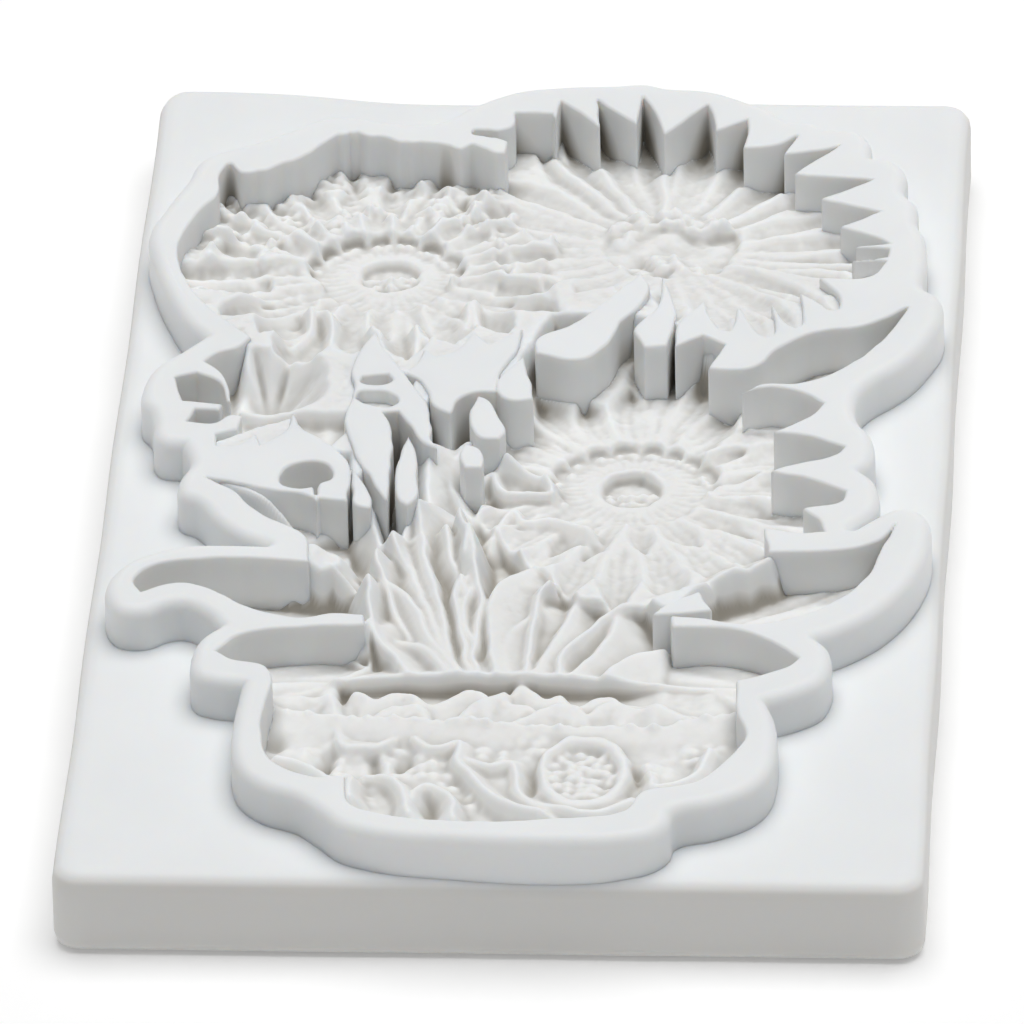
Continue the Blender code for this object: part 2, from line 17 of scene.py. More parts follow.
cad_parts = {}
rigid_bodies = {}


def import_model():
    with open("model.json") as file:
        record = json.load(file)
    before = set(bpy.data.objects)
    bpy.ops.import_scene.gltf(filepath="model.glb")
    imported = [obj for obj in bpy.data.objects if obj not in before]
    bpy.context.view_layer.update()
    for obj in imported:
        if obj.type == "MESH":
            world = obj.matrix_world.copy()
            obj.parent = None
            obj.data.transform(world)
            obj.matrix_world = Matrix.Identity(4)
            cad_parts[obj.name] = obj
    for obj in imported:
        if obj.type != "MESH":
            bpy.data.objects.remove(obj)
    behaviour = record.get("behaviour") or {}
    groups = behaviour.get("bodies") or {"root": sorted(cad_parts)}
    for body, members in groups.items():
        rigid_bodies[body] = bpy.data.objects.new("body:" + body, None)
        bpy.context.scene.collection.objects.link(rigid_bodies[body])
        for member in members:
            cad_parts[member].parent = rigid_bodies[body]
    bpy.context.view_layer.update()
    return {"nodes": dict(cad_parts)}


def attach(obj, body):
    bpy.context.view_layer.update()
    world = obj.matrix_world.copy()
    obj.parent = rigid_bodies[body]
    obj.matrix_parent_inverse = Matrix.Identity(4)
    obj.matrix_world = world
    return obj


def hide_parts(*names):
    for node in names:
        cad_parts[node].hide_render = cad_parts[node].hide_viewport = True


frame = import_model()

# Sizes in millimetres, heights above the slab's underside.
MM = 0.001
SLAB_WIDTH = 75.0
SLAB_LENGTH = 135.0
SLAB_TOP = 7.7
SLAB_CORNER = 2.6
RIM_TOP = 11.9
RIM_FOOT = 3.9
POCKET_FLOOR = 3.6
POCKET_INSET = 1.2  # from the rim's outer outline
BOUQUET_ORIGIN = (-0.1, 1.3)
OUTER_ROUND = 1.25  # of the rim's outer edge
INNER_ROUND = 0.3  # of the rim's inner edge and the webs' edges

# How the outlines and ridges are drawn.
STEP = 0.16  # spacing of the grid
CUT_MARGIN = 0.04  # of a cell's side, how close a cut may come to a grid point
CURVE_GAP = 0.3  # spacing of points along a smooth outline
CORNER_DEGREES = 62.0  # an outline that turns more than this keeps a sharp corner
HOLE_CORNER_DEGREES = 75.0
MELT = 0.12  # how far a ridge's foot melts into what it stands on
SEAM = 0.25  # half the width over which one motif's relief meets the next
SHALLOWEST, DEEPEST = 0.4, 7.6  # limits of the relief's depth

# How a petal is pressed: parallel up to its shoulder, then closing to the tip.
SHOULDER = 0.45
BANK = 3.2  # slope of the bank outside it
VEIN_TURNS = 7.0  # radians of the veins' wave per millimetre across

CAMERA_AIM = (-1.538, 1.611, 2.814)
CAMERA_DISTANCE = 1.536133  # metres
CAMERA_LENS = 606.434
CAMERA_ELEVATION = 31.25
CAMERA_AZIMUTH = 3.7213
CAMERA_ROLL = -1.2847

# Outlines, as (x, y) points.
OUTER = [
    (-29.8, 15.6), (-31.6, 18.2), (-33.4, 22.6), (-34.9, 27.5), (-36, 34), (-34.7, 39), (-33.2, 43.5),
    (-32.3, 47), (-31, 48.3), (-27.5, 50.5), (-25.3, 52), (-22.5, 54.4), (-21, 55.2), (-19, 55.3),
    (-15, 54.3), (-11, 54.5), (-8, 57.5), (-4, 60.3), (0, 61.2), (5, 61.6), (8, 61.9), (9.8, 61.2),
    (13, 60.9), (14.8, 60.3), (18, 58.3), (19.3, 57.3), (21.3, 55.4), (23.5, 55), (24.5, 54.1),
    (27.8, 53.3), (28.8, 51.6), (29, 48.8), (30.3, 48.6), (31.6, 47.6), (32.3, 46), (32.3, 42.4),
    (33.4, 40.5), (33.6, 37), (34.3, 34.8), (34.6, 30), (34.6, 25.6), (36, 24), (36.3, 20), (35.3, 16.5),
    (34, 13.5), (32.3, 11), (30.7, 9.2), (29.5, 7.2), (29.1, 4.6), (29.6, 2), (30.7, -0.2), (31.1, -3),
    (30.8, -5), (30, -6.3), (31.1, -7.6), (31.7, -9.8), (31.7, -12.8), (29.6, -16.3), (31.9, -13.7),
    (33, -12.8), (34.3, -12.6), (35.6, -13.3), (36.3, -14.6), (36.5, -18.5), (35.6, -23.5), (34, -27.5),
    (32, -30.6), (29, -33.5), (27.2, -34.7), (28.2, -36), (28.6, -38.6), (27.8, -42), (26, -43.7),
    (23.3, -45.2), (24.1, -48), (24.4, -53), (23.8, -57.2), (22.4, -59.6), (19.5, -61.7), (16.1, -63.2),
    (15.6, -65.2), (14.2, -67), (11, -68), (5, -68.3), (-3, -68), (-9, -67.4), (-12.5, -66),
    (-14.6, -63.6), (-16.6, -61.5), (-19.5, -60), (-21.6, -57.7), (-22.6, -54.4), (-22.8, -49),
    (-22.5, -43.3), (-24.8, -43), (-26.6, -42), (-27.2, -38.8), (-26.6, -35.8), (-25, -33.6),
    (-26.3, -31.6), (-28.5, -30.1), (-29.8, -30.4), (-31.6, -31.7), (-34, -31.5), (-35.3, -29.2),
    (-35.4, -26.5), (-34.3, -23.8), (-31.5, -21.3), (-28.7, -20.2), (-25, -20), (-21.8, -20.1),
    (-24.6, -18.3), (-26.6, -16), (-28.5, -12.9), (-30, -11.8), (-30.3, -9.2), (-29.5, -6.2),
    (-30.4, -3.2), (-32.2, -2.9), (-33, -1.8), (-33.2, 0.6), (-33.6, 2.4), (-34.5, 4), (-34.4, 8.5),
    (-33.6, 10.6), (-31.8, 12.9),
]

CAVITY = [
    (-25.4, 15.2), (-29.6, 20.4), (-31.7, 24.4), (-33.1, 30.5), (-32.2, 36), (-30.4, 41.2),
    (-30.6, 44.4), (-29.6, 45.7), (-28, 44.6), (-25.3, 45.9), (-23.2, 47.6), (-21.6, 49), (-20.3, 50.8),
    (-18.9, 52.4), (-17.6, 51.6), (-16.1, 51.7), (-12.4, 50.4), (-9.6, 49.9), (-6.8, 49.4), (-4.6, 48.8),
    (-4.4, 50.6), (-7.3, 52.3), (-5.1, 52.6), (-4.1, 53.4), (-3.8, 55.9), (-0.5, 55.9), (-0.2, 54.9),
    (0.2, 58.1), (1.6, 56.6), (4, 53.2), (3.5, 58.4), (5, 56.6), (7.3, 54), (7.6, 59.2), (8.6, 57),
    (9.9, 52.3), (12.2, 55.6), (13.6, 57.7), (14.1, 56), (14.6, 53), (17.4, 55.2), (17.5, 53.6),
    (17.2, 49.9), (20.5, 50.7), (22, 52.2), (20.9, 48.8), (24.7, 49.8), (26, 50.5), (21.9, 45.2),
    (27.1, 44.6), (29.3, 44.4), (24.6, 40.8), (28.2, 39.4), (30.3, 38.7), (26.5, 35.8), (30.2, 33.9),
    (31.3, 32.9), (27.7, 32.3), (31.1, 32.1), (31, 30.5), (27.8, 29.8), (31, 29.9), (29.5, 27),
    (25, 26.7), (26.6, 24.2), (27.1, 22), (26.9, 21.2), (26.2, 21.1), (25.2, 22.2), (23.2, 24.4),
    (23.8, 20), (23.7, 18.3), (23.2, 17.8), (22.6, 18.4), (20.9, 22), (21.3, 18.4), (21.2, 16.6),
    (20.7, 16), (20.1, 16.6), (17.9, 21.6), (17.7, 18.4), (17.3, 17.2), (16.7, 17.4), (14.8, 22.4),
    (12.7, 18.6), (12.6, 14.4), (15, 16.3), (17, 14.8), (15.7, 10.6), (19.6, 10.8), (21.8, 14.2),
    (24.4, 16.8), (29.5, 18.5), (33.1, 21.6), (31.7, 17.5), (29.5, 13.2), (26.6, 9.9), (23.8, 8.2),
    (21, 8.1), (18.9, 6.4), (20.5, 7.4), (24, 6.8), (26.3, 4.8), (25.1, 2.5), (22, -0.3), (25.3, -0.9),
    (28.3, -2.7), (27.6, -4), (24.6, -5.5), (21.9, -7), (24.7, -7.8), (28.8, -10.2), (28.3, -12),
    (24.9, -13.2), (26.7, -15.4), (27.2, -17.2), (25, -17.4), (21.8, -16.6), (22.4, -20.7), (29, -20.1),
    (32, -18.6), (33.4, -15.7), (32.2, -20), (31.2, -24.2), (29, -28.2), (25, -31.6), (21, -32.8),
    (17, -31.9), (14.3, -31.6), (14.5, -33.4), (20, -33.6), (24, -36.2), (25.7, -38.3), (24.6, -39.8),
    (20.5, -42.2), (20.8, -47.6), (21.7, -50.8), (20.2, -54.8), (17.6, -58.6), (13.2, -60.3),
    (11.6, -63.4), (5, -64.9), (-2, -65.4), (-8, -64.6), (-11.8, -62.8), (-12.5, -58.4), (-15.2, -58.5),
    (-18.8, -56.2), (-20.2, -51.5), (-20.2, -46.5), (-19.8, -42.4), (-20.6, -40.6), (-23.6, -39.5),
    (-25.1, -38.2), (-23, -35.4), (-19, -34.2), (-12.3, -33.6), (-12.4, -31.9), (-15.4, -31.7),
    (-18.2, -32.5), (-22.8, -30.8), (-26.2, -28), (-29, -26.9), (-32.2, -28.5), (-33, -26.4),
    (-31, -23.8), (-26, -22.7), (-17.8, -23.2), (-18.6, -18.6), (-19.4, -17.6), (-22.6, -15.2),
    (-25.2, -11.4), (-27.9, -9.1), (-24.4, -10.2), (-21.6, -11.2), (-19.4, -11.6), (-18.2, -12.4),
    (-17.9, -13.6), (-17.6, -12.4), (-15.1, -12.8), (-15.5, -6.1), (-17.7, -2.7), (-19.9, -0.4),
    (-20.9, 2.4), (-21.4, -0.9), (-23.4, -3.6), (-24, -1.4), (-25.6, -3.6), (-27.4, -3.7), (-27.6, -1.6),
    (-25.6, -0.8), (-25.4, 1.4), (-26.4, 1.6), (-27.7, 0.2), (-30.3, 0.4), (-29.6, 2.6), (-27.4, 2.4),
    (-27.2, 3.5), (-30.9, 4), (-31.8, 8.1), (-29.9, 9), (-27.8, 7.4), (-26.9, 3.9), (-26.5, 4),
    (-27.6, 8.6), (-29.3, 11), (-28.6, 12.2), (-26.6, 13.4),
]

WEBS = {
    "web_upper_left": [
        (-14.4, 16.4), (-13, 12.6), (-11.8, 10.2), (-10.3, 7), (-9.1, 4), (-8.5, 0.9), (-8.3, -1.8),
        (-7.7, -3.7), (-9.2, -2.6), (-10.3, 0), (-11.5, 2.6), (-12.9, 2.4), (-12, 0), (-11.7, -7.7),
        (-11.5, -13.2), (-12.3, -11.5), (-13.6, -8.1), (-14.8, -5.2), (-15.5, -2.7), (-16.2, 0.6),
        (-16, 3.4), (-15.7, 6.9), (-16.1, 9.5), (-15.6, 13)],
    "web_upper_middle": [
        (-11.3, 9.2), (-10.3, 11.3), (-9.9, 13.6), (-8.6, 12.2), (-7.1, 13.1), (-5.6, 16.6), (-4, 14.4),
        (-1.2, 17.4), (-1.5, 13.2), (-2.8, 9.7), (-3, 6.2), (-4.4, 6.2), (-5.9, 5.2), (-6.9, 2.4),
        (-8.2, 3.4), (-9, 5.6), (-10.1, 8.2)],
    "web_diagonal": [
        (0.2, 13), (0.1, 15.4), (3, 18), (6.2, 22.6), (8.9, 27.2), (9.9, 24.8), (9.2, 21.6), (7.6, 18.6),
        (6.4, 14.4), (4.2, 12)],
    "web_prong": [
        (10.9, 26.9), (12.2, 22), (12.4, 19), (11.8, 14.6), (9.8, 14.2), (8.8, 17.3), (10.6, 21.4)],
    "spike_back": [(-0.9, 12.3), (0, 8), (0.4, 5), (-1.2, 4.6), (-2.7, 5.6), (-2.9, 8.1)],
    "spike_rough": [
        (-4.6, 5.4), (-3.7, 4.7), (-2.7, 2.4), (-1.8, -0.6), (-2.2, -2), (-4, -1.7), (-5, 0.2),
        (-5.1, 2.7)],
    "spike_middle": [(-5.6, -4.9), (-5.3, -3), (-4.1, -3.6), (-3.5, -5.2), (-3.6, -6.8), (-5.1, -6.9)],
    "spike_left": [(-15, -7.2), (-14, -9.5), (-13, -12.2), (-13, -14), (-14.3, -13.5), (-14.8, -10.3)],
    "spike_slit": [
        (-10.4, -1.1), (-9.5, -4.6), (-9.2, -8.5), (-9.1, -12.2), (-9.8, -13.4), (-10.7, -12.4),
        (-11.1, -9.8), (-10.9, -4.6)],
    "spike_right": [(12.7, -31.4), (13.6, -29.9), (16.6, -27.5), (17.9, -30.6), (14.6, -31.2)],
}

HOLES = {
    "upper_lens": [
        (-15.1, 7.6), (-15.1, 8.6), (-14.2, 8.8), (-12.8, 9), (-12.4, 8), (-13, 7.2), (-14.3, 7.1)],
    "lower_lens": [
        (-15.4, 4.9), (-15.1, 6), (-14.1, 6.1), (-12.6, 5.9), (-11.7, 4.4), (-12.4, 3.3), (-13.9, 3.5)],
    "bud": [
        (-21.3, -9.2), (-20.6, -7), (-19.2, -6.2), (-17.5, -6.5), (-16.8, -8), (-16.9, -9.3),
        (-17.7, -10), (-17.8, -11.9), (-18.1, -11.9), (-18.3, -10.6), (-19.4, -10.9), (-20.8, -10.4)],
}

# The part of the cavity that each motif fills; the upper left bloom fills the rest.
UPPER_RIGHT = [
    (-4.2, 44), (-4.2, 47.5), (-9, 53), (-9, 62), (37, 62), (37, 15.5), (16, 15.5), (12.3, 18.4),
    (9.9, 20), (1.5, 21), (1, 32), (0.5, 38),
]
LOWER_RIGHT = [
    (-0.5, 14), (1.5, 21), (9.9, 20), (12.3, 18.4), (16, 15.5), (17, 15.5), (20.4, 10.9), (18.9, 6.8),
    (30, 7), (30, -18), (22.2, -18), (18, -24), (12, -28), (6, -26), (1, -18), (-4, -9), (-3, 2), (-2, 8),
]
GRASS = [
    (-4, 10), (-2, 8), (-3, 2), (-4, -9), (1, -18), (6, -26), (12, -28), (14, -30.5), (14.2, -34),
    (20, -34), (20, -37.7), (-15, -37.7), (-12, -35), (-11.5, -31), (-13, -24), (-16, -22), (-15.5, -12),
    (-12, -2), (-9, 4), (-7, 12),
]
POT = [(-24, -37.75), (24, -37.75), (24, -68), (-24, -68)]
SMALL_FLOWER = [
    (-34, 14.9), (-25, 14.2), (-22, 14), (-18, 12.4), (-15.8, 10.4), (-10.6, 9.6), (-10.6, 3),
    (-15.8, 0.4), (-17.6, -3), (-20.9, 2.4), (-34, -6),
]
BUD = [(-24, -4), (-15.6, -4), (-15, -15), (-19, -14), (-24, -10)]

# Each leaf: its part of the cavity, root, tip, depth and the side that it slopes to.
LEAVES = [
    ([(18.9, 6.8), (18.6, 11.2), (21.2, 15.2), (23.6, 17.2), (26, 18.6), (29, 19.6), (33.6, 23.4),
      (36, 22.5), (36, 6)],
     (20.5, 9), (32.6, 20.6), 4.6, 1),
    ([(18, -24), (22.2, -18), (36, -14), (36, -33.4), (14.2, -33.4), (14, -30.5)],
     (16, -28), (32.8, -17.6), 4.6, 1),
    ([(14.2, -31), (30, -31), (30, -41.6), (20.6, -41.6), (18, -37.7), (13.8, -37.6)],
     (14.6, -36.4), (25, -38.2), 3.9, 1),
    ([(-30, -33.2), (-14.2, -33.2), (-12, -35), (-15, -37.7), (-19.9, -41.8), (-30, -41.8)],
     (-12, -36.4), (-24.6, -37.6), 4, -1),
    ([(-36, -20), (-17.8, -22), (-13, -24), (-11.5, -31), (-12, -35), (-14.2, -33.2), (-36, -33.2)],
     (-12.6, -29.6), (-32.4, -26.8), 4.8, -1),
    ([(-30, -8), (-19, -14), (-15, -12), (-14.2, -22), (-17.8, -22), (-30, -17)],
     (-16.2, -19), (-27, -10), 4.6, -1),
]

# Petals of the blooms, by root and tip (and width), or by the tip alone.
SCOOPS = [
    ((-20.6, 29.6), (-31, 26), 4.2), ((-20.6, 28), (-28.6, 20.6), 5), ((-19.6, 26.6), (-24.6, 17), 5),
    ((-17.8, 25.4), (-22.4, 11.4), 5.4), ((-17.2, 26), (-16.4, 13.2), 5.2),
    ((-12.6, 26), (-11.2, 12.6), 5), ((-9.8, 27), (-7.2, 15.4), 5), ((-8.4, 28.6), (-2.6, 17.6), 5),
    ((-8, 30), (1.6, 21.8), 4.8), ((-8, 31.6), (3.6, 26.4), 4.4),
]
INNER_PETALS = [
    ((-18.6, 30.6), (-25.4, 25.4)), ((-17.6, 29.4), (-22.6, 22)), ((-16, 28.8), (-18.6, 19.6)),
    ((-14.4, 28.6), (-13.8, 19)), ((-12.8, 28.8), (-9.6, 19.8)), ((-11.4, 29.6), (-4.8, 23)),
    ((-10.4, 30.8), (-2.4, 26.8)),
]
UPPER_RIGHT_TIPS = [
    (-6.2, 51.4), (-2, 56.6), (0.6, 58.4), (3.8, 58.8), (8, 59.6), (13.6, 58.2), (17.8, 55.8),
    (22.2, 52.6), (26.4, 50.8), (29.4, 44.6), (30.6, 38.8), (31.2, 34.4), (30.8, 30.4), (30, 28.4),
    (27, 21), (23.6, 17.6), (21.2, 15.8), (17.2, 16.8), (12.4, 19.4), (7.6, 23.6), (3, 25.4),
    (-1.6, 27.8), (-4.4, 32), (-6.6, 36.4), (-7.6, 41), (-7.6, 46),
]
UPPER_RIGHT_RIDGES = [
    (-0.3, 54.6), (4, 52.8), (9.9, 51.8), (17, 49.4), (20.6, 48.2), (21.6, 44.8), (24.2, 40.8),
    (26, 35.8), (27.2, 31), (24.4, 26.8), (22.4, 25.2), (-5.4, 48.6),
]
LOWER_RIGHT_TIPS = [
    (-2.4, 9), (0.2, 12.6), (4.2, 12.4), (8.6, 15.4), (10.4, 21.4), (12.6, 19.4), (15.4, 16.6),
    (18.2, 11.4), (26.6, 4.8), (28.6, -3), (29.2, -11), (27.6, -17.8), (22.6, -20.6), (19.4, -24),
    (14.4, -27.6), (9.2, -28.6), (4.2, -26.2), (-0.6, -22.4), (-3, -17), (-5, -11.4), (-5.4, -6.2),
    (-4.6, -0.6), (-3.4, 4.4),
]

# Crests between petals and round the pot's brim, as (x, y, depth) points.
SCOOP_CRESTS = [
    [(-27.6, 21.6, 2.2), (-25, 18, 2.4), (-23.7, 17.9, 1.6), (-22.2, 17, 2.3), (-20.8, 20.5, 2.5),
     (-20.6, 24, 1.9)],
    [(-20.6, 24, 2.6), (-18.8, 22.7, 1.7), (-18.6, 19, 2.3), (-18.9, 16.1, 2), (-16.2, 14.9, 2.3),
     (-15, 17, 2.1), (-14.7, 19.8, 1.3)],
    [(-14.7, 19.8, 1.3), (-14, 16, 1.9), (-11.6, 13.9, 2.2), (-10.9, 17, 2.3), (-10.9, 21.1, 1.7)],
    [(-10.9, 21.1, 1.7), (-9.8, 18, 2.3), (-7.8, 16.7, 2.4), (-6.6, 20, 2.5), (-6.4, 25.6, 2)],
    [(-6, 26, 2), (-5.4, 21.5, 2.5), (-3.6, 19.2, 2.6), (-1.8, 19.6, 2.4), (-0.8, 20.5, 1.8)],
]
LACE_CRESTS = [
    [(-14.2, -40.2, 3.9), (-13, -38.9, 3.5), (-11.1, -40.1, 3.7), (-9, -38.9, 3.4), (-6.1, -40.5, 3.8),
     (-3.4, -38.9, 3.3), (-1.6, -39.6, 3.5)],
    [(0.6, -39.9, 3.6), (1.6, -38.4, 3.2), (3.7, -40.2, 3.6), (5, -39.6, 3.4), (6.6, -41, 3.7),
     (9.3, -39.3, 3.3), (10.4, -40.4, 3.6), (13.7, -40.8, 3.5), (17, -42.2, 3.8)],
    [(-20.6, -41.4, 3.3), (-17.4, -40.6, 3.1), (-14.6, -40.4, 3.2), (-14.2, -42.4, 3.6)],
    [(-11, -42.8, 3.7), (-9.6, -41.5, 3.3), (-6.8, -41.6, 3.3), (-6.2, -43.2, 3.7)],
    [(-4, -43.6, 3.6), (-2.7, -41.8, 3.1), (-1, -40.8, 2.9), (0.1, -39.6, 2.7), (0.7, -41.4, 3.1),
     (2.4, -41.6, 3.3), (3.4, -42.8, 3.6)],
    [(1.2, -44.2, 3.5), (2.8, -43, 3.2), (4.9, -41.5, 2.9), (6.5, -42, 3.1), (7.6, -43.6, 3.5)],
    [(7.2, -43.2, 3.5), (9.4, -40.6, 3), (10.9, -41.6, 3.2), (13.8, -41.6, 3.1), (16.4, -42.8, 3.4)],
]
LEAF_END = [(-19, -21, 0.2), (-17.8, -21.2, 0.4), (-16.6, -21.6, 0.9)]
LEAF_CURL = [
    (-17, -21.6, 0.8), (-16.1, -21.9, 1.1), (-15, -22.4, 2), (-14.2, -22.8, 2.9), (-13.2, -23.6, 4.2),
]
SILL = [
    (-13.8, -38.1, 3.1), (-10, -38, 2.6), (-3, -37.9, 2.3), (6, -37.9, 2.4), (11, -38.1, 3),
    (14, -38.3, 3.8),
]
BRIM = [
    (-20.6, -41.9, 3.2), (-17.5, -42.9, 3.2), (-13.1, -43.7, 3.2), (-9, -43.6, 3.1), (-6.4, -43.9, 3.2),
    (-2.6, -44.2, 3.1), (2.7, -45, 3.1), (7, -44.9, 3.1), (13.9, -44.8, 3.1), (16.5, -43.6, 3.1),
    (21.2, -42.4, 3.1),
]

# Ridges: the slopes of the left and right flank, then (x, y, depth) points.
SPIKE_RIDGES = [
    (9, 1.3, [(-11.7, -7.7, 0.4), (-11.6, -12, 1.4), (-11.6, -15.4, 4.6)]),
    (1.6, 9, [(-10.8, -12, 0.2), (-10.5, -14.4, 1.6), (-9.9, -17.4, 3.6)]),
    (0.9, 2.2, [(-9.1, -11.6, 0.3), (-8.6, -15, 1.8), (-7.4, -19, 3.2)]),
    (0.8, 2, [(-8.3, -1.8, 0.6), (-8.4, -6, 2), (-8.2, -12, 3.4), (-7.6, -18, 3.6)]),
    (1, 2.2, [(-12.9, -12.6, 0.2), (-12.3, -15.6, 2.4), (-11.9, -18.6, 3.4)]),
    (1.6, 4, [(-11.2, -16.2, 0.2), (-10.6, -18.6, 0.8), (-9.5, -21, 2.2)]),
    (1.6, 4, [(-12.1, -20, 0.2), (-11.9, -22, 0.5), (-11, -25, 1.3), (-10, -28, 2.2),
     (-8.4, -31.6, 2.6)]),
    (1.6, 3, [(-12.8, -24.4, 0.2), (-12.5, -26.6, 0.4), (-12.1, -29.6, 1.2), (-11.4, -32.4, 1.8),
     (-9.2, -36, 2.2)]),
    (3, 4, [(-5.3, -12.6, 0.2), (-4.7, -14.8, 0.2), (-4.5, -17.6, 0.5), (-4.6, -20, 1.6),
     (-4.6, -22.6, 2.6)]),
    (2.6, 1.6, [(-6.2, -14.6, 0.9), (-5.8, -17.4, 1.7), (-5, -21.4, 2.6)]),
    (3, 1.6, [(-4.2, -15.6, 0.3), (-3.6, -19.5, 0.7), (-3.2, -22.5, 1.2), (-2.5, -27.5, 1.8),
     (-2.8, -34, 2.3)]),
    (2.4, 2.4, [(-4.6, -22.4, 1.2), (-4, -26, 2), (-3.6, -31, 2.4)]),
    (1.2, 3, [(-3.8, -4.2, 3.2), (-2.9, -2.6, 2.9), (-2.1, -4.8, 3.2), (-0.7, -5.7, 3.1),
     (2.4, -5.3, 3.2)]),
    (2.2, 2.2, [(1.9, -2.6, 2.7), (2.6, -5.3, 3.1)]),
    (1.4, 1, [(-2.6, -13, 3.6), (-0.7, -8.6, 3.2), (0.4, -10.2, 3.4), (3, -9.9, 3.3), (6, -11.6, 3.1)]),
    (0.8, 4.5, [(9.9, -27.9, 1.6), (12.2, -26.8, 1.3), (14.8, -25.6, 1.1), (17, -24.2, 1.1),
     (19.4, -22.4, 0.5), (20.6, -22.2, 0.9), (22.6, -21, 0.2)]),
    (6, 6, [(-12.7, -33.4, 0.3), (-12.6, -32, 0.2), (-12.4, -30, 0.8)]),
    (1.2, 1.2, [(-5.2, -0.4, 1.2), (-6.4, -3, 2.6), (-5.8, -7, 3.2), (-4.4, -9.4, 3.8)]),
    (1.4, 1.6, [(-1.6, -1.6, 1.6), (0.4, -2.4, 3), (2, -2.8, 3.4)]),
]
GRASS_RIDGES = [
    (3, 0.5, [(-8.1, -38.2, 2.4), (-9.2, -35.7, 2.4), (-10.7, -32.6, 2.3), (-11.5, -30.6, 2)]),
    (1.4, 0.6, [(-4.7, -37.7, 2.3), (-5.9, -35.5, 2.3), (-7.1, -33.5, 2.3), (-9.4, -32.1, 2.6),
     (-10.6, -30.3, 3.2)]),
    (0.9, 1.6, [(-3.8, -38, 2.2), (-5, -35.1, 2.2), (-6.4, -32.5, 2.1), (-7.8, -28.2, 1.9),
     (-9.3, -25.2, 1.7), (-10.9, -24, 1.3)]),
    (1.1, 1.4, [(-4.4, -36.4, 2.4), (-5.3, -34.1, 2.3), (-7.5, -25.8, 2), (-8.9, -21.3, 2),
     (-10, -17.5, 1.8)]),
    (1.1, 2.8, [(-3.5, -37.9, 2.2), (-4.7, -34.3, 2.2), (-5.6, -29.6, 2), (-6.3, -25, 1.8),
     (-7.4, -20.3, 1.6), (-8.3, -15.4, 1.4)]),
    (3.4, 2, [(-2.7, -38, 2.3), (-3.6, -34.2, 2.2), (-4.6, -28.3, 1.8), (-5, -23, 1.4)]),
    (1.6, 3.6, [(-2.1, -37.9, 2.2), (-2.7, -34.2, 2.2), (-3.5, -30.1, 2), (-4, -26.7, 1.7),
     (-3.4, -22.8, 1.1), (-3.8, -19, 0.5)]),
    (4, 0.35, [(-0.8, -37.8, 2.3), (-1.6, -32.5, 2.2), (-1.7, -29.4, 2), (-2, -26, 1.8),
     (-1.3, -23, 1.8), (0.5, -20.8, 2.2), (2.2, -18.9, 2.7)]),
    (2.6, 0.6, [(0.2, -37.6, 2.4), (-0.2, -33, 2.6), (0.6, -29.6, 2.6), (2.2, -26.6, 2.2)]),
    (1.3, 3, [(2, -37.8, 2.3), (2.1, -34.9, 2.2), (2.3, -29.5, 2), (2.5, -25.6, 1.5),
     (3.5, -23.9, 0.9)]),
    (1.6, 0.7, [(2.4, -37.6, 2.4), (3.8, -33.1, 2.4), (5.3, -27.4, 2.2), (6.2, -24.8, 2.2),
     (8.4, -23.4, 2.4), (9.3, -19.8, 2.2)]),
    (2, 1.4, [(4.6, -37.8, 2.3), (4.9, -34.1, 2.2), (5.9, -31.9, 2), (8, -29, 1.9), (9.8, -27.4, 1.3)]),
    (1.4, 0.7, [(5.7, -37.4, 2.5), (7.4, -34.5, 2.4), (8.9, -31.3, 2.3), (9.5, -28.4, 2)]),
    (1.8, 0.35, [(8.4, -37.9, 2.4), (9.6, -35.6, 2.4), (11.7, -33.6, 2.6), (14.6, -32, 3)]),
]
POT_RIDGES = [
    (0.5, 2.2, [(-14.2, -45.2, 3.4), (-13.8, -48, 3.1), (-12.7, -48.8, 3), (-10, -48.6, 2.9),
     (-9, -47, 3.2)]),
    (0.8, 1.6, [(-7.4, -46.6, 3.2), (-6.3, -48.5, 3), (-4.9, -48.8, 2.9), (-3.4, -48, 2.8),
     (-3.1, -51.5, 2.7), (-1.1, -55.2, 2.6), (0.9, -57.6, 2.5), (4, -59.4, 2.4)]),
    (1.2, 1.4, [(-18.9, -50.3, 3), (-17.4, -51, 2.9), (-16.4, -51.8, 2.8), (-14.1, -54.3, 2.7),
     (-12.7, -53.7, 2.6), (-12.5, -57.8, 2)]),
    (1, 1.6, [(-11.2, -52.8, 3.2), (-9.4, -53.6, 2.9), (-8, -55.2, 2.7), (-7.6, -57.6, 2.4),
     (-7, -60.4, 2)]),
    (1.6, 1, [(-7, -57, 2.6), (-6.6, -55.4, 2.8), (-5.5, -54.4, 2.9), (-4.1, -55.9, 2.8),
     (-3.2, -58.6, 2.5), (-3, -61, 2)]),
    (0.7, 1.5, [(-2.6, -50.4, 3.1), (-0.2, -51.8, 2.9), (1.4, -51, 2.8), (1.9, -54.1, 2.8),
     (3.2, -57.2, 2.7), (5.6, -58.6, 2.6), (9.2, -59.4, 2.5), (12, -57.4, 2.6)]),
    (1.3, 1.3, [(13.4, -51.6, 3.2), (13.8, -54.4, 2.9), (16.1, -53.6, 2.9), (17.7, -52, 2.9),
     (18.2, -48.4, 2.9)]),
]

# Pits beside the pot's ridges: x, y, half width, half length and depth.
POT_PITS = [
    (-14.9, -49.8, 0.7, 1.6, 1.4), (-10.4, -50.6, 0.6, 1.6, 1.2), (-8.1, -49.8, 0.7, 1.5, 1.2),
    (-19.4, -46.8, 1.2, 1.2, 0.9), (-5.4, -57.4, 0.9, 2, 0.8), (-13.9, -39, 0.5, 1.4, 1),
]
ROSE_CENTRE = (7.6, -52.2)

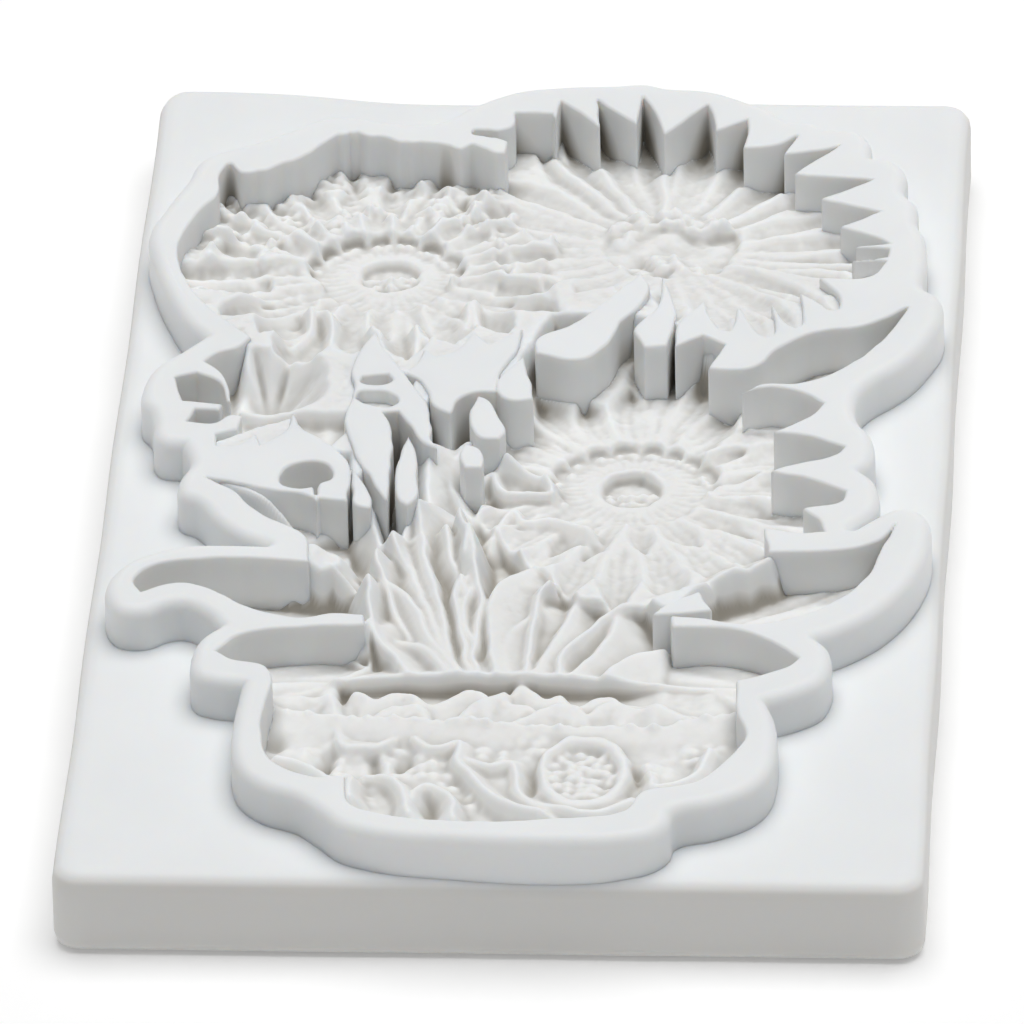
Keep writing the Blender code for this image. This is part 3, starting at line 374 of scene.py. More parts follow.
# The grid, a little larger than the rim.
XS = np.arange(-37.4, 37.4, STEP)
YS = np.arange(-69.2, 63.0, STEP)
X, Y = np.meshgrid(XS, YS)


def unit(vector):
    """The vector's direction, one long."""
    return vector / np.hypot(*vector)


def smooth(points, corner=CORNER_DEGREES):
    """A closed outline drawn through the points, round except where they turn sharply."""
    points = [np.array(point) for point in points]
    count = len(points)
    legs = [points[(i + 1) % count] - points[i] for i in range(count)]
    sharp = math.cos(math.radians(corner))
    drawn = []
    for i in range(count):
        leg = legs[i]
        length = np.hypot(*leg)
        tangents = []
        for before, after in ((legs[i - 1], leg), (leg, legs[(i + 1) % count])):
            both = unit(before) + unit(after)
            turns_sharply = unit(before) @ unit(after) < sharp
            tangents.append(leg if turns_sharply else unit(both) * length)
        steps = max(2, round(length / CURVE_GAP))
        for t in np.arange(steps) / steps:
            arrived = 3 * t**2 - 2 * t**3
            drawn.append(mix(points[i], points[(i + 1) % count], arrived)
                         + (t**3 - 2 * t**2 + t) * tangents[0] + (t**3 - t**2) * tangents[1])
    return np.array(drawn)


def window(low, high):
    """The part of the grid that covers a box, by its low and its high corner."""
    i0, i1 = np.searchsorted(XS, (low[0], high[0]))
    j0, j1 = np.searchsorted(YS, (low[1], high[1]))
    return slice(j0, j1 + 1), slice(i0, i1 + 1)


def from_leg(a, b, x, y):
    """The share of the way from a to b that lies nearest to points, and the steps from it."""
    along = b - a
    share = ((x - a[0]) * along[0] + (y - a[1]) * along[1]) / (along[0]**2 + along[1]**2)
    share = np.clip(share, 0.0, 1.0)
    return share, x - a[0] - share * along[0], y - a[1] - share * along[1]


def signed_distance(loops, reach=2.5):
    """Distance to the loops, up to reach, positive where an odd number of loops enclose."""
    distance = np.full(X.shape, reach)
    toggles = np.zeros(X.shape, bool)
    for loop in loops:
        for a, b in zip(loop, np.roll(loop, -1, axis=0)):
            part = window(np.minimum(a, b) - reach, np.maximum(a, b) + reach)
            _, dx, dy = from_leg(a, b, X[part], Y[part])
            distance[part] = np.minimum(distance[part], np.hypot(dx, dy))
            rows = np.nonzero((YS > min(a[1], b[1])) & (YS <= max(a[1], b[1])))[0]
            if len(rows):
                cross = a[0] + (YS[rows] - a[1]) / (b[1] - a[1]) * (b[0] - a[0])
                columns = np.searchsorted(XS, cross)
                kept = columns < len(XS)
                np.logical_xor.at(toggles, (rows[kept], columns[kept]), True)
    inside = np.logical_xor.accumulate(toggles, axis=1)
    return np.where(inside, distance, -distance)


def cut_cells(level):
    """Cuts the grid along level 0 and keeps what is above it.

    Returns the points as fractional grid rows and columns, the whole cells, the cut cells
    and the open edges along the cut."""
    rows, columns = level.shape
    above = level > 0
    count = above[:-1, :-1].astype(int) + above[1:, :-1] + above[:-1, 1:] + above[1:, 1:]
    number = np.arange(rows * columns).reshape(rows, columns)
    whole = np.nonzero(count == 4)
    quads = np.stack([number[whole], number[:-1, 1:][whole], number[1:, 1:][whole],
                      number[1:, :-1][whole]], axis=1)
    cuts, cut_places, faces, edges = {}, [], [], []

    def cut_between(a, b):
        """The number of the point where the level crosses 0 between two grid points."""
        key = (min(a, b), max(a, b))
        if key not in cuts:
            j0, i0 = divmod(key[0], columns)
            j1, i1 = divmod(key[1], columns)
            t = level[j0, i0] / (level[j0, i0] - level[j1, i1])
            t = min(max(t, CUT_MARGIN), 1 - CUT_MARGIN)
            cuts[key] = rows * columns + len(cut_places)
            cut_places.append((j0 + (j1 - j0) * t, i0 + (i1 - i0) * t))
        return cuts[key]

    for j, i in zip(*np.nonzero((count > 0) & (count < 4))):
        corners = [(j, i), (j, i + 1), (j + 1, i + 1), (j + 1, i)]
        face, leaving = [], []
        for corner, following in zip(corners, corners[1:] + corners[:1]):
            if above[corner]:
                face.append(number[corner])
            if above[corner] != above[following]:
                if above[corner]:
                    leaving.append(len(face))
                face.append(cut_between(number[corner], number[following]))
        faces.append(face)
        edges += [(face[place], face[(place + 1) % len(face)]) for place in leaving]
    places = np.stack(np.divmod(np.arange(rows * columns), columns), axis=1).astype(float)
    places = np.concatenate([places, np.array(cut_places).reshape(-1, 2)])
    return places, quads, faces, edges


def blur(values, spread):
    """Values averaged over a round neighbourhood spread mm wide."""
    reach = math.ceil(2.5 * spread / STEP)
    weights = np.exp(-0.5 * (np.arange(-reach, reach + 1) * STEP / spread) ** 2)
    weights /= weights.sum()
    for axis in (0, 1):
        total = np.zeros(values.shape)
        for shift, weight in zip(range(-reach, reach + 1), weights):
            total += weight * np.roll(values, shift, axis)
        values = total
    return values


def at_places(values, places):
    """A grid's values at fractional rows and columns."""
    j = np.clip(np.floor(places[:, 0]).astype(int), 0, values.shape[0] - 2)
    i = np.clip(np.floor(places[:, 1]).astype(int), 0, values.shape[1] - 2)
    v, u = places[:, 0] - j, places[:, 1] - i
    return mix(mix(values[j, i], values[j, i + 1], u),
               mix(values[j + 1, i], values[j + 1, i + 1], u), v)


def add_object(name, data):
    """A new object in the scene."""
    obj = bpy.data.objects.new(name, data)
    bpy.context.scene.collection.objects.link(obj)
    return obj


def mesh_object(name, points, faces, material, normals, shade):
    """An object in world metres from points in the bouquet's millimetres.

    The last argument is painted shade: for each point, how far it darkens and warms the
    colour there, 0 not at all, 1 and above fully."""
    used = np.zeros(len(points), bool)
    for face in faces:
        used[face] = True
    renumber = np.cumsum(used) - 1
    world = (points[used] + np.array([BOUQUET_ORIGIN[0], BOUQUET_ORIGIN[1], 0.0])) * MM
    mesh = bpy.data.meshes.new(name)
    mesh.from_pydata(world.tolist(), [], [renumber[face].tolist() for face in faces])
    mesh.shade_smooth()
    if normals is not None:
        mesh.normals_split_custom_set_from_vertices(normals[used].tolist())
    mesh.attributes.new("shade", "FLOAT", "POINT").data.foreach_set("value", shade[used])
    mesh.materials.append(material)
    return add_object(name, mesh)


def ease(low, high, value):
    """0 below low, 1 above high and an even bend between."""
    t = np.clip((value - low) / (high - low), 0.0, 1.0)
    return t * t * (3 - 2 * t)


def mix(one, other, share):
    """one where share is 0, other where it is 1."""
    return one * (1 - share) + other * share


def noise(size, seed, squash=1.0):
    """Smooth noise from -1 to 1 with waves size mm long, and squash times that along Y."""
    rng = np.random.default_rng(seed)
    u = (X - XS[0]) / size
    v = (Y - YS[0]) / (size * squash)
    lattice = rng.uniform(-1.0, 1.0, (int(v.max()) + 3, int(u.max()) + 3))
    i, j = u.astype(int), v.astype(int)
    u, v = ease(0, 1, u - i), ease(0, 1, v - j)
    return mix(mix(lattice[j, i], lattice[j, i + 1], u),
               mix(lattice[j + 1, i], lattice[j + 1, i + 1], u), v)


# How far the edges of petals and ridges wander from their drawn lines.
WANDER_X = 0.24 * noise(2.3, 7) + 0.06 * noise(0.9, 8)
WANDER_Y = 0.24 * noise(2.3, 9) + 0.06 * noise(0.9, 10)
FLUTED = ease(-2.0, -8.0, X) * ease(38.0, 42.0, Y)  # where the far wall is ribbed


def rough(size, seed, squash=1.0):
    """Noise with two finer octaves."""
    return (noise(size, seed, squash) + 0.5 * noise(size / 2, seed + 1, squash)
            + 0.25 * noise(size / 4, seed + 2, squash)) / 1.75


def grains(size, seed, jitter=0.42):
    """Rounded grains about size mm across: 1 at the middle of each, 0 between them."""
    rng = np.random.default_rng(seed)
    u, v = (X - XS[0]) / size, (Y - YS[0]) / size
    i, j = u.astype(int) + 1, v.astype(int) + 1
    shape = (j.max() + 3, i.max() + 3)
    shift_u = rng.uniform(-jitter, jitter, shape)
    shift_v = rng.uniform(-jitter, jitter, shape)
    radius = 0.62
    nearest = np.full(X.shape, np.inf)
    for dj in (-1, 0, 1):
        for di in (-1, 0, 1):
            cu = i + di - 0.5 + shift_u[j + dj, i + di]
            cv = j + dj - 0.5 + shift_v[j + dj, i + di]
            nearest = np.minimum(nearest, np.hypot(u - cu, v - cv))
    return np.clip(1.0 - (nearest / radius) ** 2, 0.0, 1.0)


def fan_angle(centre):
    """Distance from a centre and the turn round it, in radians from +X."""
    return np.hypot(X - centre[0], Y - centre[1]), np.arctan2(Y - centre[1], X - centre[0])


def around(centre, reach, turn):
    """The point that lies reach from a centre at a turn in radians."""
    return centre[0] + reach * math.cos(turn), centre[1] + reach * math.sin(turn)


def towards(centre, tip, reach):
    """The point that lies reach from a centre on the way to a tip."""
    dx, dy = tip[0] - centre[0], tip[1] - centre[1]
    away = math.hypot(dx, dy)
    return centre[0] + dx * reach / away, centre[1] + dy * reach / away


def arc(centre, reach, first, last, count):
    """Points spread evenly round a centre from one turn in degrees to another."""
    return [around(centre, reach, math.radians(turn)) for turn in np.linspace(first, last, count)]


def course(points, gap=0.5):
    """An open curve through the points, as close points along it."""
    points = [np.array(point, float) for point in points]
    points = [2 * points[0] - points[1]] + points + [2 * points[-1] - points[-2]]
    drawn = []
    for before, a, b, after in zip(points, points[1:], points[2:], points[3:]):
        steps = max(1, round(np.hypot(*(b - a)[:2]) / gap))
        bend = 2 * before - 5 * a + 4 * b - after
        twist = 3 * a - before - 3 * b + after
        for t in np.arange(steps) / steps:
            drawn.append(0.5 * (2 * a + (b - before) * t + bend * t * t + twist * t**3))
    drawn.append(points[-2])
    return np.array(drawn)


def blade(depth, points, left, right, reach=7.0, top=0.0):
    """Raises a ridge along (x, y, depth) points; left and right are its flanks' slopes.

    Its crest is flat for top on both sides, and nothing further off than reach changes."""
    line = course(points)
    part = window(line.min(axis=0) - reach, line.max(axis=0) + reach)
    x, y = X[part] + WANDER_X[part], Y[part] + WANDER_Y[part]
    nearest = np.full(x.shape, np.inf)
    surface = np.zeros(x.shape)
    for a, b in zip(line, line[1:]):
        share, dx, dy = from_leg(a, b, x, y)
        gap = np.hypot(dx, dy)
        along = b - a
        slope = np.where(along[0] * dy - along[1] * dx > 0, left, right)
        flank = a[2] + share * along[2] + slope * np.maximum(gap - top, 0.0)
        surface = np.where(gap < nearest, flank, surface)
        nearest = np.minimum(nearest, gap)
    near = np.clip(0.5 + (depth[part] - surface) / (2 * MELT), 0.0, 1.0)
    depth[part] = mix(depth[part], surface, near) - MELT * near * (1 - near)


def beads(depth, points, gap, radius, height, seed):
    """Small teeth and beads strung along a course, with a gap here and there."""
    rng = np.random.default_rng(seed)
    for x, y, *_ in course(points, gap):
        if rng.uniform() < 0.25:
            continue
        x, y = x + rng.uniform(-0.3, 0.3), y + rng.uniform(-0.25, 0.25)
        wide = radius * rng.uniform(0.7, 1.4)
        part = window((x - 3 * wide, y - 3 * wide), (x + 3 * wide, y + 3 * wide))
        away = ((X[part] - x) ** 2 + (Y[part] - y) ** 2) / wide**2
        depth[part] -= height * rng.uniform(0.5, 1.3) * np.exp(-away)


def dimple(depth, x, y, wide, long, deep):
    """A soft pit pressed into the relief."""
    depth += deep * np.exp(-((X + WANDER_X - x) / wide) ** 2 - ((Y + WANDER_Y - y) / long) ** 2)


def along_axis(root, tip, x, y):
    """Points as a share of the way from root to tip, how far left of it, and its length."""
    run, rise = tip[0] - root[0], tip[1] - root[1]
    length = np.hypot(run, rise)
    x, y = x - root[0], y - root[1]
    return (x * run + y * rise) / length**2, (y * run - x * rise) / length, length


def trough(depth, root, tip, width, deep_root, deep_tip, bowl, vein=0.0, point=1.6):
    """Presses one petal into the relief: a trough that runs from its root to its tip.

    bowl is how much higher its sides are than its middle; a higher point is blunter."""
    part = window(np.minimum(root, tip) - width, np.maximum(root, tip) + width)
    u, v, length = along_axis(root, tip, X[part] + WANDER_X[part], Y[part] + WANDER_Y[part])
    closing = np.clip((u - SHOULDER) / (1 - SHOULDER), 0, 1) ** point
    half = width / 2 * np.clip(1 - closing, 0.02, 1)
    outside = (np.maximum(np.abs(v) - half, 0) + np.maximum(u - 1, 0) * length
               + np.maximum(-u, 0) * length)
    share = np.clip(np.abs(v) / half, 0, 1)
    surface = mix(deep_root, deep_tip, np.clip(u, 0, 1)) - bowl * share**2.2 - BANK * outside
    surface += vein * np.cos(v * VEIN_TURNS) * (1 - share)
    depth[part] = np.maximum(depth[part], surface)


def ring(depth, centre, count, radii, width, deep, bowl, seed, turns=(0.0, 360.0), vein=0.0):
    """A ring of petals round a centre; deep(x, y) gives the depth of each end."""
    rng = np.random.default_rng(seed)
    first, last = turns
    for k in range(count):
        turn = math.radians(first + (last - first) * (k + 0.5 + rng.uniform(-0.22, 0.22)) / count)
        inner = radii[0] * (1 + rng.uniform(-0.05, 0.05))
        outer = radii[1] * (1 + rng.uniform(-0.09, 0.09))
        root, tip = around(centre, inner, turn), around(centre, outer, turn)
        change = rng.uniform(-0.3, 0.3)
        trough(depth, root, tip, width * rng.uniform(0.85, 1.2), deep(*root) + change,
               deep(*tip) + change, bowl, vein)


def flower_disc(depth, centre, size, pit_shift, scallops, heights, seed):
    """A flower's eye: a scalloped wall behind a ribbed dish with a crater in it.

    heights are the depths behind, in front, in the middle and in the crater."""
    behind, front, middle_depth, pit = heights
    middle = (centre[0] + pit_shift[0], centre[1] + pit_shift[1])
    r, turn = fan_angle(centre)
    middle_r, middle_turn = fan_angle(middle)
    far = ease(-0.3, 0.35, np.sin(turn))
    share = (turn / math.tau * scallops + 0.25 * noise(3.0, seed)) % 1.0
    niche = np.sqrt(np.clip(1 - (2 * share - 1) ** 2, 0, 1))
    edge = mix(size - 0.5 * niche, size + 0.1 + 1.1 * niche, far)

    run = np.clip((size - r) / (size - 3.0), 0.0, 1.0)
    dish = mix(mix(front, behind, far), middle_depth, ease(0.0, 0.7, run))
    dish += 0.06 * np.cos(middle_turn * 38 + 2.5 * noise(3.0, seed + 2)) * ease(0.0, 0.3, run)
    dish += 0.07 * rough(0.9, seed + 3)
    dish -= 0.5 * ease(0.75, 1.0, run) * ease(0.2, 0.9, np.sin(middle_turn))
    surface = mix(depth, dish, ease(edge + 0.14, edge - 0.14, r))
    crater = ease(2.85, 2.45, middle_r + 0.16 * noise(0.9, seed + 7))
    surface = mix(surface, pit + 0.12 * rough(0.6, seed + 4), crater)
    for course_centre, reach, first, last, gap, radius, height in (
            (centre, size - 0.1, 15, 165, 0.75, 0.3, 0.55),
            (middle, 2.0, 185, 355, 0.75, 0.36, 0.75),
            (middle, 1.1, 200, 340, 0.8, 0.34, 0.6)):
        line = arc(course_centre, reach, first, last, 12)
        beads(surface, line, gap, radius, height, seed + 6)
    return surface


def upper_left_bloom():
    """A daisy with three rows of petals behind its eye and deep scoops in front of it."""
    centre = (-14.6, 33.0)

    def deep(y):
        return np.interp(y, (12.0, 18.0, 25.0, 33.0, 39.0, 44.0, 50.0),
                         (1.9, 2.7, 3.6, 4.1, 4.0, 4.5, 5.3))

    depth = np.interp(Y, (12.0, 16.0, 20.0, 26.0, 33.0, 39.0, 44.0, 48.0),
                      (0.4, 0.5, 0.7, 1.6, 2.9, 2.7, 3.4, 4.4)) + 0.25 * rough(2.4, 11)
    for count, radii, width, lower, bowl, seed in (
            (17, (14.6, 22.0), 3.6, -0.1, 1.7, 21), (17, (10.8, 17.0), 3.3, 0.2, 1.7, 22),
            (16, (6.4, 12.4), 2.7, -0.1, 1.4, 23)):
        ring(depth, centre, count, radii, width, lambda x, y: deep(y) + lower, bowl, seed,
             (-22.0, 202.0))
    for root, tip, width in SCOOPS:
        trough(depth, root, tip, width, 4.2, 3.1, 2.6, 0.03, 3.4)
    for root, tip in INNER_PETALS:
        trough(depth, root, tip, 3.8, 4.5, 3.9, 2.2, 0.03, 3.0)
    for row, (reach, height) in enumerate(((20.5, 0.55), (16.0, 0.6), (11.8, 0.5))):
        beads(depth, arc(centre, reach, 0.0, 180.0, 16), 0.7, 0.42, height, 120 + row)
    for points in SCOOP_CRESTS:
        blade(depth, points, 1.7, 1.7, 3.0)
    crest = ease(36.0, 40.0, Y + 2.0 * noise(4.0, 15)) + 0.5 * ease(-20.0, -24.0, X)
    depth += 0.10 * rough(0.9, 12) - 0.6 * grains(1.0, 14) * crest * ease(-0.2, 0.4, noise(1.9, 17))
    return flower_disc(depth, centre, 6.4, (0.4, 1.1), 17, (5.0, 4.5, 4.7, 5.6), 16)


def upper_right_bloom():
    """A bloom of broad petals, each ending in a notch of the rim, round a lumpy eye."""
    centre = (10.8, 38.4)
    depth = np.interp(Y, (14.0, 20.0, 27.0, 34.0, 40.0, 46.0, 52.0),
                      (0.3, 0.4, 1.2, 2.6, 3.4, 4.0, 4.4)) + 0.15 * rough(2.0, 31)
    for tip in UPPER_RIGHT_TIPS:
        root = towards(centre, tip, 5.2)
        start = np.interp(root[1], (33.0, 38.0, 43.0), (3.6, 4.1, 4.7))
        end = np.interp(tip[1], (15.0, 24.0, 32.0, 44.0, 52.0), (0.5, 1.3, 3.6, 5.0, 5.6))
        bowl = np.interp(tip[0], (8.0, 20.0, 27.0), (0.8, 1.2, 2.0))
        trough(depth, root, tip, 4.2, start, end, bowl, 0.03, 2.6)
    foot_depth = 4.2
    for tip in UPPER_RIGHT_RIDGES:
        foot = towards(centre, tip, 7.4)
        end = np.interp(tip[1], (24.0, 32.0, 44.0, 52.0), (0.6, 2.0, 3.6, 4.2))
        halfway = ((tip[0] + foot[0]) / 2, (tip[1] + foot[1]) / 2, (end + foot_depth) / 2 + 0.1)
        ridge = [(*tip, end), halfway, (*foot, foot_depth)]
        blade(depth, ridge, 0.9, 0.9, 3.0, 0.15)
    shallow = np.interp(Y, (16.0, 19.0, 23.0, 28.0, 29.0), (0.45, 0.7, 1.6, 3.2, 9.0))
    depth = np.where(X > 14.0, np.minimum(depth, shallow), depth)
    depth += 0.10 * rough(1.2, 32)
    r, _ = fan_angle(centre)
    clustered = ease(-0.1, 0.35, noise(3.4, 38))
    lumps = 4.5 - 0.8 * grains(1.5, 33) * clustered - 0.5 * clustered + 0.12 * rough(0.9, 34)
    lumps += 0.6 * noise(2.2, 36)
    return mix(depth, lumps, ease(6.7, 6.1, r + 0.7 * noise(1.8, 35)))


def lower_right_bloom():
    """A daisy seen a little from the side, with long petals all round its eye."""
    centre = (9.6, -2.0)
    depth = np.interp(Y, (-28.0, -22.0, -14.0, -6.0, 4.0, 12.0),
                      (1.4, 2.0, 3.0, 3.8, 4.3, 4.6)) + 0.15 * rough(2.0, 41)
    for tip in LOWER_RIGHT_TIPS:
        root = towards(centre, tip, 7.0)
        start = np.interp(root[1], (-9.0, -2.0, 5.0), (4.4, 4.9, 5.0))
        end = np.interp(tip[1], (-28.0, -20.0, -8.0, 4.0, 12.0), (2.9, 3.6, 4.9, 5.6, 6.2))
        trough(depth, root, tip, 4.6, start, end, 1.1, 0.07, 2.4)

    def front(x, y):
        return np.interp(y, (-16.0, -2.0), (4.7, 5.3))

    ring(depth, centre, 8, (5.6, 14.0), 4.8, front, 2.0, 44, (190.0, 350.0), 0.07)
    ring(depth, centre, 9, (6.6, 11.4), 2.8, lambda x, y: 5.3, 1.3, 45, (0.0, 180.0), 0.05)
    depth += 0.10 * rough(0.9, 42)
    return flower_disc(depth, centre, 6.9, (-0.2, 0.2), 20, (6.0, 5.2, 5.4, 6.3), 46)


def fins(depth):
    """The pointed spikes, the sloping feet of the tall ones and the ledges off the leaves."""
    for left, right, points in SPIKE_RIDGES:
        blade(depth, points, left, right, 4.0)
    blade(depth, LEAF_END, 1.6, 6.0, 4.0, 1.4)
    blade(depth, LEAF_CURL, 1.4, 6.0, 4.0, 0.8)


def grass():
    """Blades that spring from the top of the pot and climb to the spikes."""
    r, _ = fan_angle((-2.9, -37.5))
    depth = np.interp(r, (0.0, 4.0, 9.0, 16.0, 24.0, 34.0), (2.6, 3.6, 4.6, 5.4, 5.8, 6.2))
    depth += 0.15 * rough(2.5, 51, 2.0)
    for left, right, points in GRASS_RIDGES:
        blade(depth, points, left, right, 6.0)
    blade(depth, SILL, 0.5, 6.0, 3.0)
    dimple(depth, -3.1, -21.0, 0.55, 4.0, 2.0)
    return depth


def leaf(root, tip, deep, side):
    """A leaf's floor: deep along its middle and a little higher at its margins."""
    u, v, length = along_axis(root, tip, X, Y)
    midrib = 0.22 * np.exp(-(v / 0.35) ** 2)
    veins = 0.10 * np.cos(2.2 * (v * side + 0.3 * u * length))
    return deep - 0.35 * u + 0.12 * side * v + midrib + veins + 0.08 * rough(2.0, 61)


def pot():
    """The basket: ragged bands of lace under its brim and a lumpy body with a rose."""
    depth = 4.6 + 0.12 * rough(1.6, 74) + 0.03 * (Y + 44.0)
    beside = ease(-13.9, -14.6, X) + ease(10.0, 14.5, X)
    beside = np.clip(beside, 0.0, 1.0) * ease(-43.0, -40.5, Y)
    depth = mix(depth, 3.9 + 0.25 * rough(3.0, 71), beside)
    ruffle = 0.35 * noise(1.5, 72, 4.0) + 0.12 * np.abs(noise(0.7, 73))
    for points in LACE_CRESTS:
        blade(depth, points, 2.2, 0.3, 3.0, 0.2)
    depth += ruffle * ease(4.3, 3.7, depth)
    blade(depth, BRIM, 2.4, 0.22, 3.5)
    beads(depth, BRIM, 0.9, 0.34, 0.45, 70)
    body = 4.1 + 0.45 * rough(3.2, 77) + 0.10 * rough(0.8, 75) - 0.02 * (Y + 50.0)
    body -= 0.5 * grains(1.2, 76) * ease(-0.1, 0.5, noise(2.6, 83))
    depth = mix(depth, body, ease(-46.0, -48.2, Y + 0.9 * noise(3.0, 78)))
    for left, right, points in POT_RIDGES:
        blade(depth, points, left, right, 3.0)
    for pit in POT_PITS:
        dimple(depth, *pit)
    r = np.hypot((X - ROSE_CENTRE[0]) / 0.95, (Y - ROSE_CENTRE[1]) / 1.35)
    r += 0.25 * noise(1.5, 79)
    bowl = 4.0 - 0.5 * grains(0.9, 80) + 0.3 * rough(1.4, 81)
    inside = np.minimum(3.0 + 1.5 * np.maximum(3.6 - r, 0.0), bowl)
    outside = 3.0 + 1.3 * np.maximum(r - 4.1, 0.0)
    rose = np.where(r > 3.9, outside, inside) + 0.12 * rough(1.2, 85)
    depth = mix(depth, np.minimum(rose, depth + 1.6), ease(4.7, 4.3, r) * ease(-64.0, -62.0, Y))
    for pit in ((3.2, -53.2, 0.8, 2.6, 1.2), (12.3, -51.6, 0.5, 1.8, 0.9)):
        dimple(depth, *pit)
    return depth


def small_flower():
    """A little flower seen from the side, its petals rising from a funnel to the rim."""
    centre = (-23.4, 8.8)
    r, turn = fan_angle(centre)
    folds = np.interp(np.degrees(turn), (-30, 4, 12, 40, 66, 74, 82, 92, 102, 108, 113, 122, 140),
                      (0.2, -0.5, -0.3, 0.3, 0.1, 0.8, 0.0, -0.5, 0.0, 0.7, 0.0, -0.5, 0.4))
    funnel = 5.6 - 1.05 * np.maximum(r - 0.9, 0.0) + folds * ease(1.0, 3.2, r)
    funnel += 0.12 * np.cos(turn * 26) * ease(2.6, 1.2, r)
    depth = np.clip(funnel, 0.6, 5.4) + 0.14 * rough(1.8, 84)
    windows = ease(-25.6, -27.0, X)
    depth = mix(depth, 5.0, windows)
    lenses = ease(-15.4, -15.0, X)
    depth = mix(depth, 1.3 + 0.1 * (Y - 5.0), lenses)
    low = ease(3.6, 2.4, Y) * (1 - windows)
    return mix(depth, 2.2 + 0.10 * np.cos(3.0 * X), low)


def bud():
    """The round hollow of a closed bud."""
    r, _ = fan_angle((-18.9, -8.6))
    return 3.9 + 0.3 * ease(2.4, 0.0, r)


def relief_depth():
    """The depth of the relief below the rim's top, everywhere."""
    depth = upper_left_bloom()
    right = ease(-0.6, 0.6, signed_distance([np.array(UPPER_RIGHT)]) + 0.8 * noise(2.0, 91))
    depth = mix(depth, upper_right_bloom(), right)
    motifs = [(LOWER_RIGHT, lower_right_bloom()), (GRASS, grass()), (POT, pot()),
              (SMALL_FLOWER, small_flower()), (BUD, bud())]
    motifs += [(outline, leaf(*shape)) for outline, *shape in LEAVES]
    for outline, made in motifs:
        depth = mix(depth, made, ease(-SEAM, SEAM, signed_distance([np.array(outline)])))
    fins(depth)
    slit_root, slit_tip = (-12.3, 2.4), (-11.3, -15.4)
    trough(depth, slit_root, slit_tip, 1.5, 6.6, 5.8, 0.3)
    petals = ease(-31.0, -26.0, Y)
    grain = 0.09 * rough(0.9, 111) * petals + 0.05 * rough(0.9, 112)
    return np.clip(blur(depth, 0.17) + grain, SHALLOWEST, DEEPEST)


def set_inputs(node, **values):
    """Sets a node's sockets; a name's underscores stand for the spaces in a socket's name."""
    for name, value in values.items():
        node.inputs[name.replace("_", " ")].default_value = value
    return node


def silicone():
    """Translucent white silicone with a satin skin, its colour darkened and warmed by painted shade down
    in the relief.
    """
    material = bpy.data.materials.new("silicone")
    material.use_nodes = True
    nodes, link = material.node_tree.nodes, material.node_tree.links.new

    def node(kind, **values):
        return set_inputs(nodes.new("ShaderNode" + kind), **values)

    shader = set_inputs(nodes["Principled BSDF"], IOR=1.41, Subsurface_Weight=0.8,
                        Subsurface_Radius=(1.0, 0.85, 0.7), Subsurface_Scale=0.0012)

    place = node("TexCoord")
    clouds = node("TexNoise", Scale=70.0, Detail=3.0)
    link(place.outputs["Object"], clouds.inputs["Vector"])
    streaks = node("Mapping", Scale=(900.0, 25.0, 60.0))
    link(place.outputs["Object"], streaks.inputs["Vector"])
    lines = node("TexNoise", Scale=1.0, Detail=2.0)
    link(streaks.outputs["Vector"], lines.inputs["Vector"])

    # The shade attribute carries painted shade. The ramp below turns it into colour: skin is the
    # silicone's own white, hollow is the painted shade of hollows, and slit is the dark warm painted
    # shade deep in slits.
    shade = node("Attribute")
    shade.attribute_name = "shade"
    shade_ramp = node("ValToRGB")
    skin, hollow, slit = (0.86, 0.88, 0.89, 1.0), (0.85, 0.853, 0.845, 1.0), (0.43, 0.40, 0.35, 1.0)
    shade_ramp.color_ramp.elements[0].color = skin
    shade_ramp.color_ramp.elements[1].color = slit
    shade_ramp.color_ramp.elements.new(0.35).color = hollow
    link(shade.outputs["Fac"], shade_ramp.inputs["Fac"])
    faint = node("MapRange", To_Min=0.97, To_Max=1.03)
    link(clouds.outputs["Fac"], faint.inputs["Value"])
    pale = node("Mix", Factor=1.0)
    pale.data_type = "RGBA"
    pale.blend_type = "MULTIPLY"
    color_a, color_b, color_result = 6, 7, 2
    link(shade_ramp.outputs["Color"], pale.inputs[color_a])
    link(faint.outputs["Result"], pale.inputs[color_b])
    link(pale.outputs[color_result], shader.inputs["Base Color"])

    satin = node("MapRange", To_Min=0.48, To_Max=0.62)
    link(clouds.outputs["Fac"], satin.inputs["Value"])
    link(satin.outputs["Result"], shader.inputs["Roughness"])
    bump = node("Bump", Strength=0.12, Distance=0.0001)
    link(lines.outputs["Fac"], bump.inputs["Height"])
    link(bump.outputs["Normal"], shader.inputs["Normal"])
    return material


def grid_points(places):
    """The x and y of fractional grid rows and columns."""
    return XS[0] + places[:, 1] * STEP, YS[0] + places[:, 0] * STEP


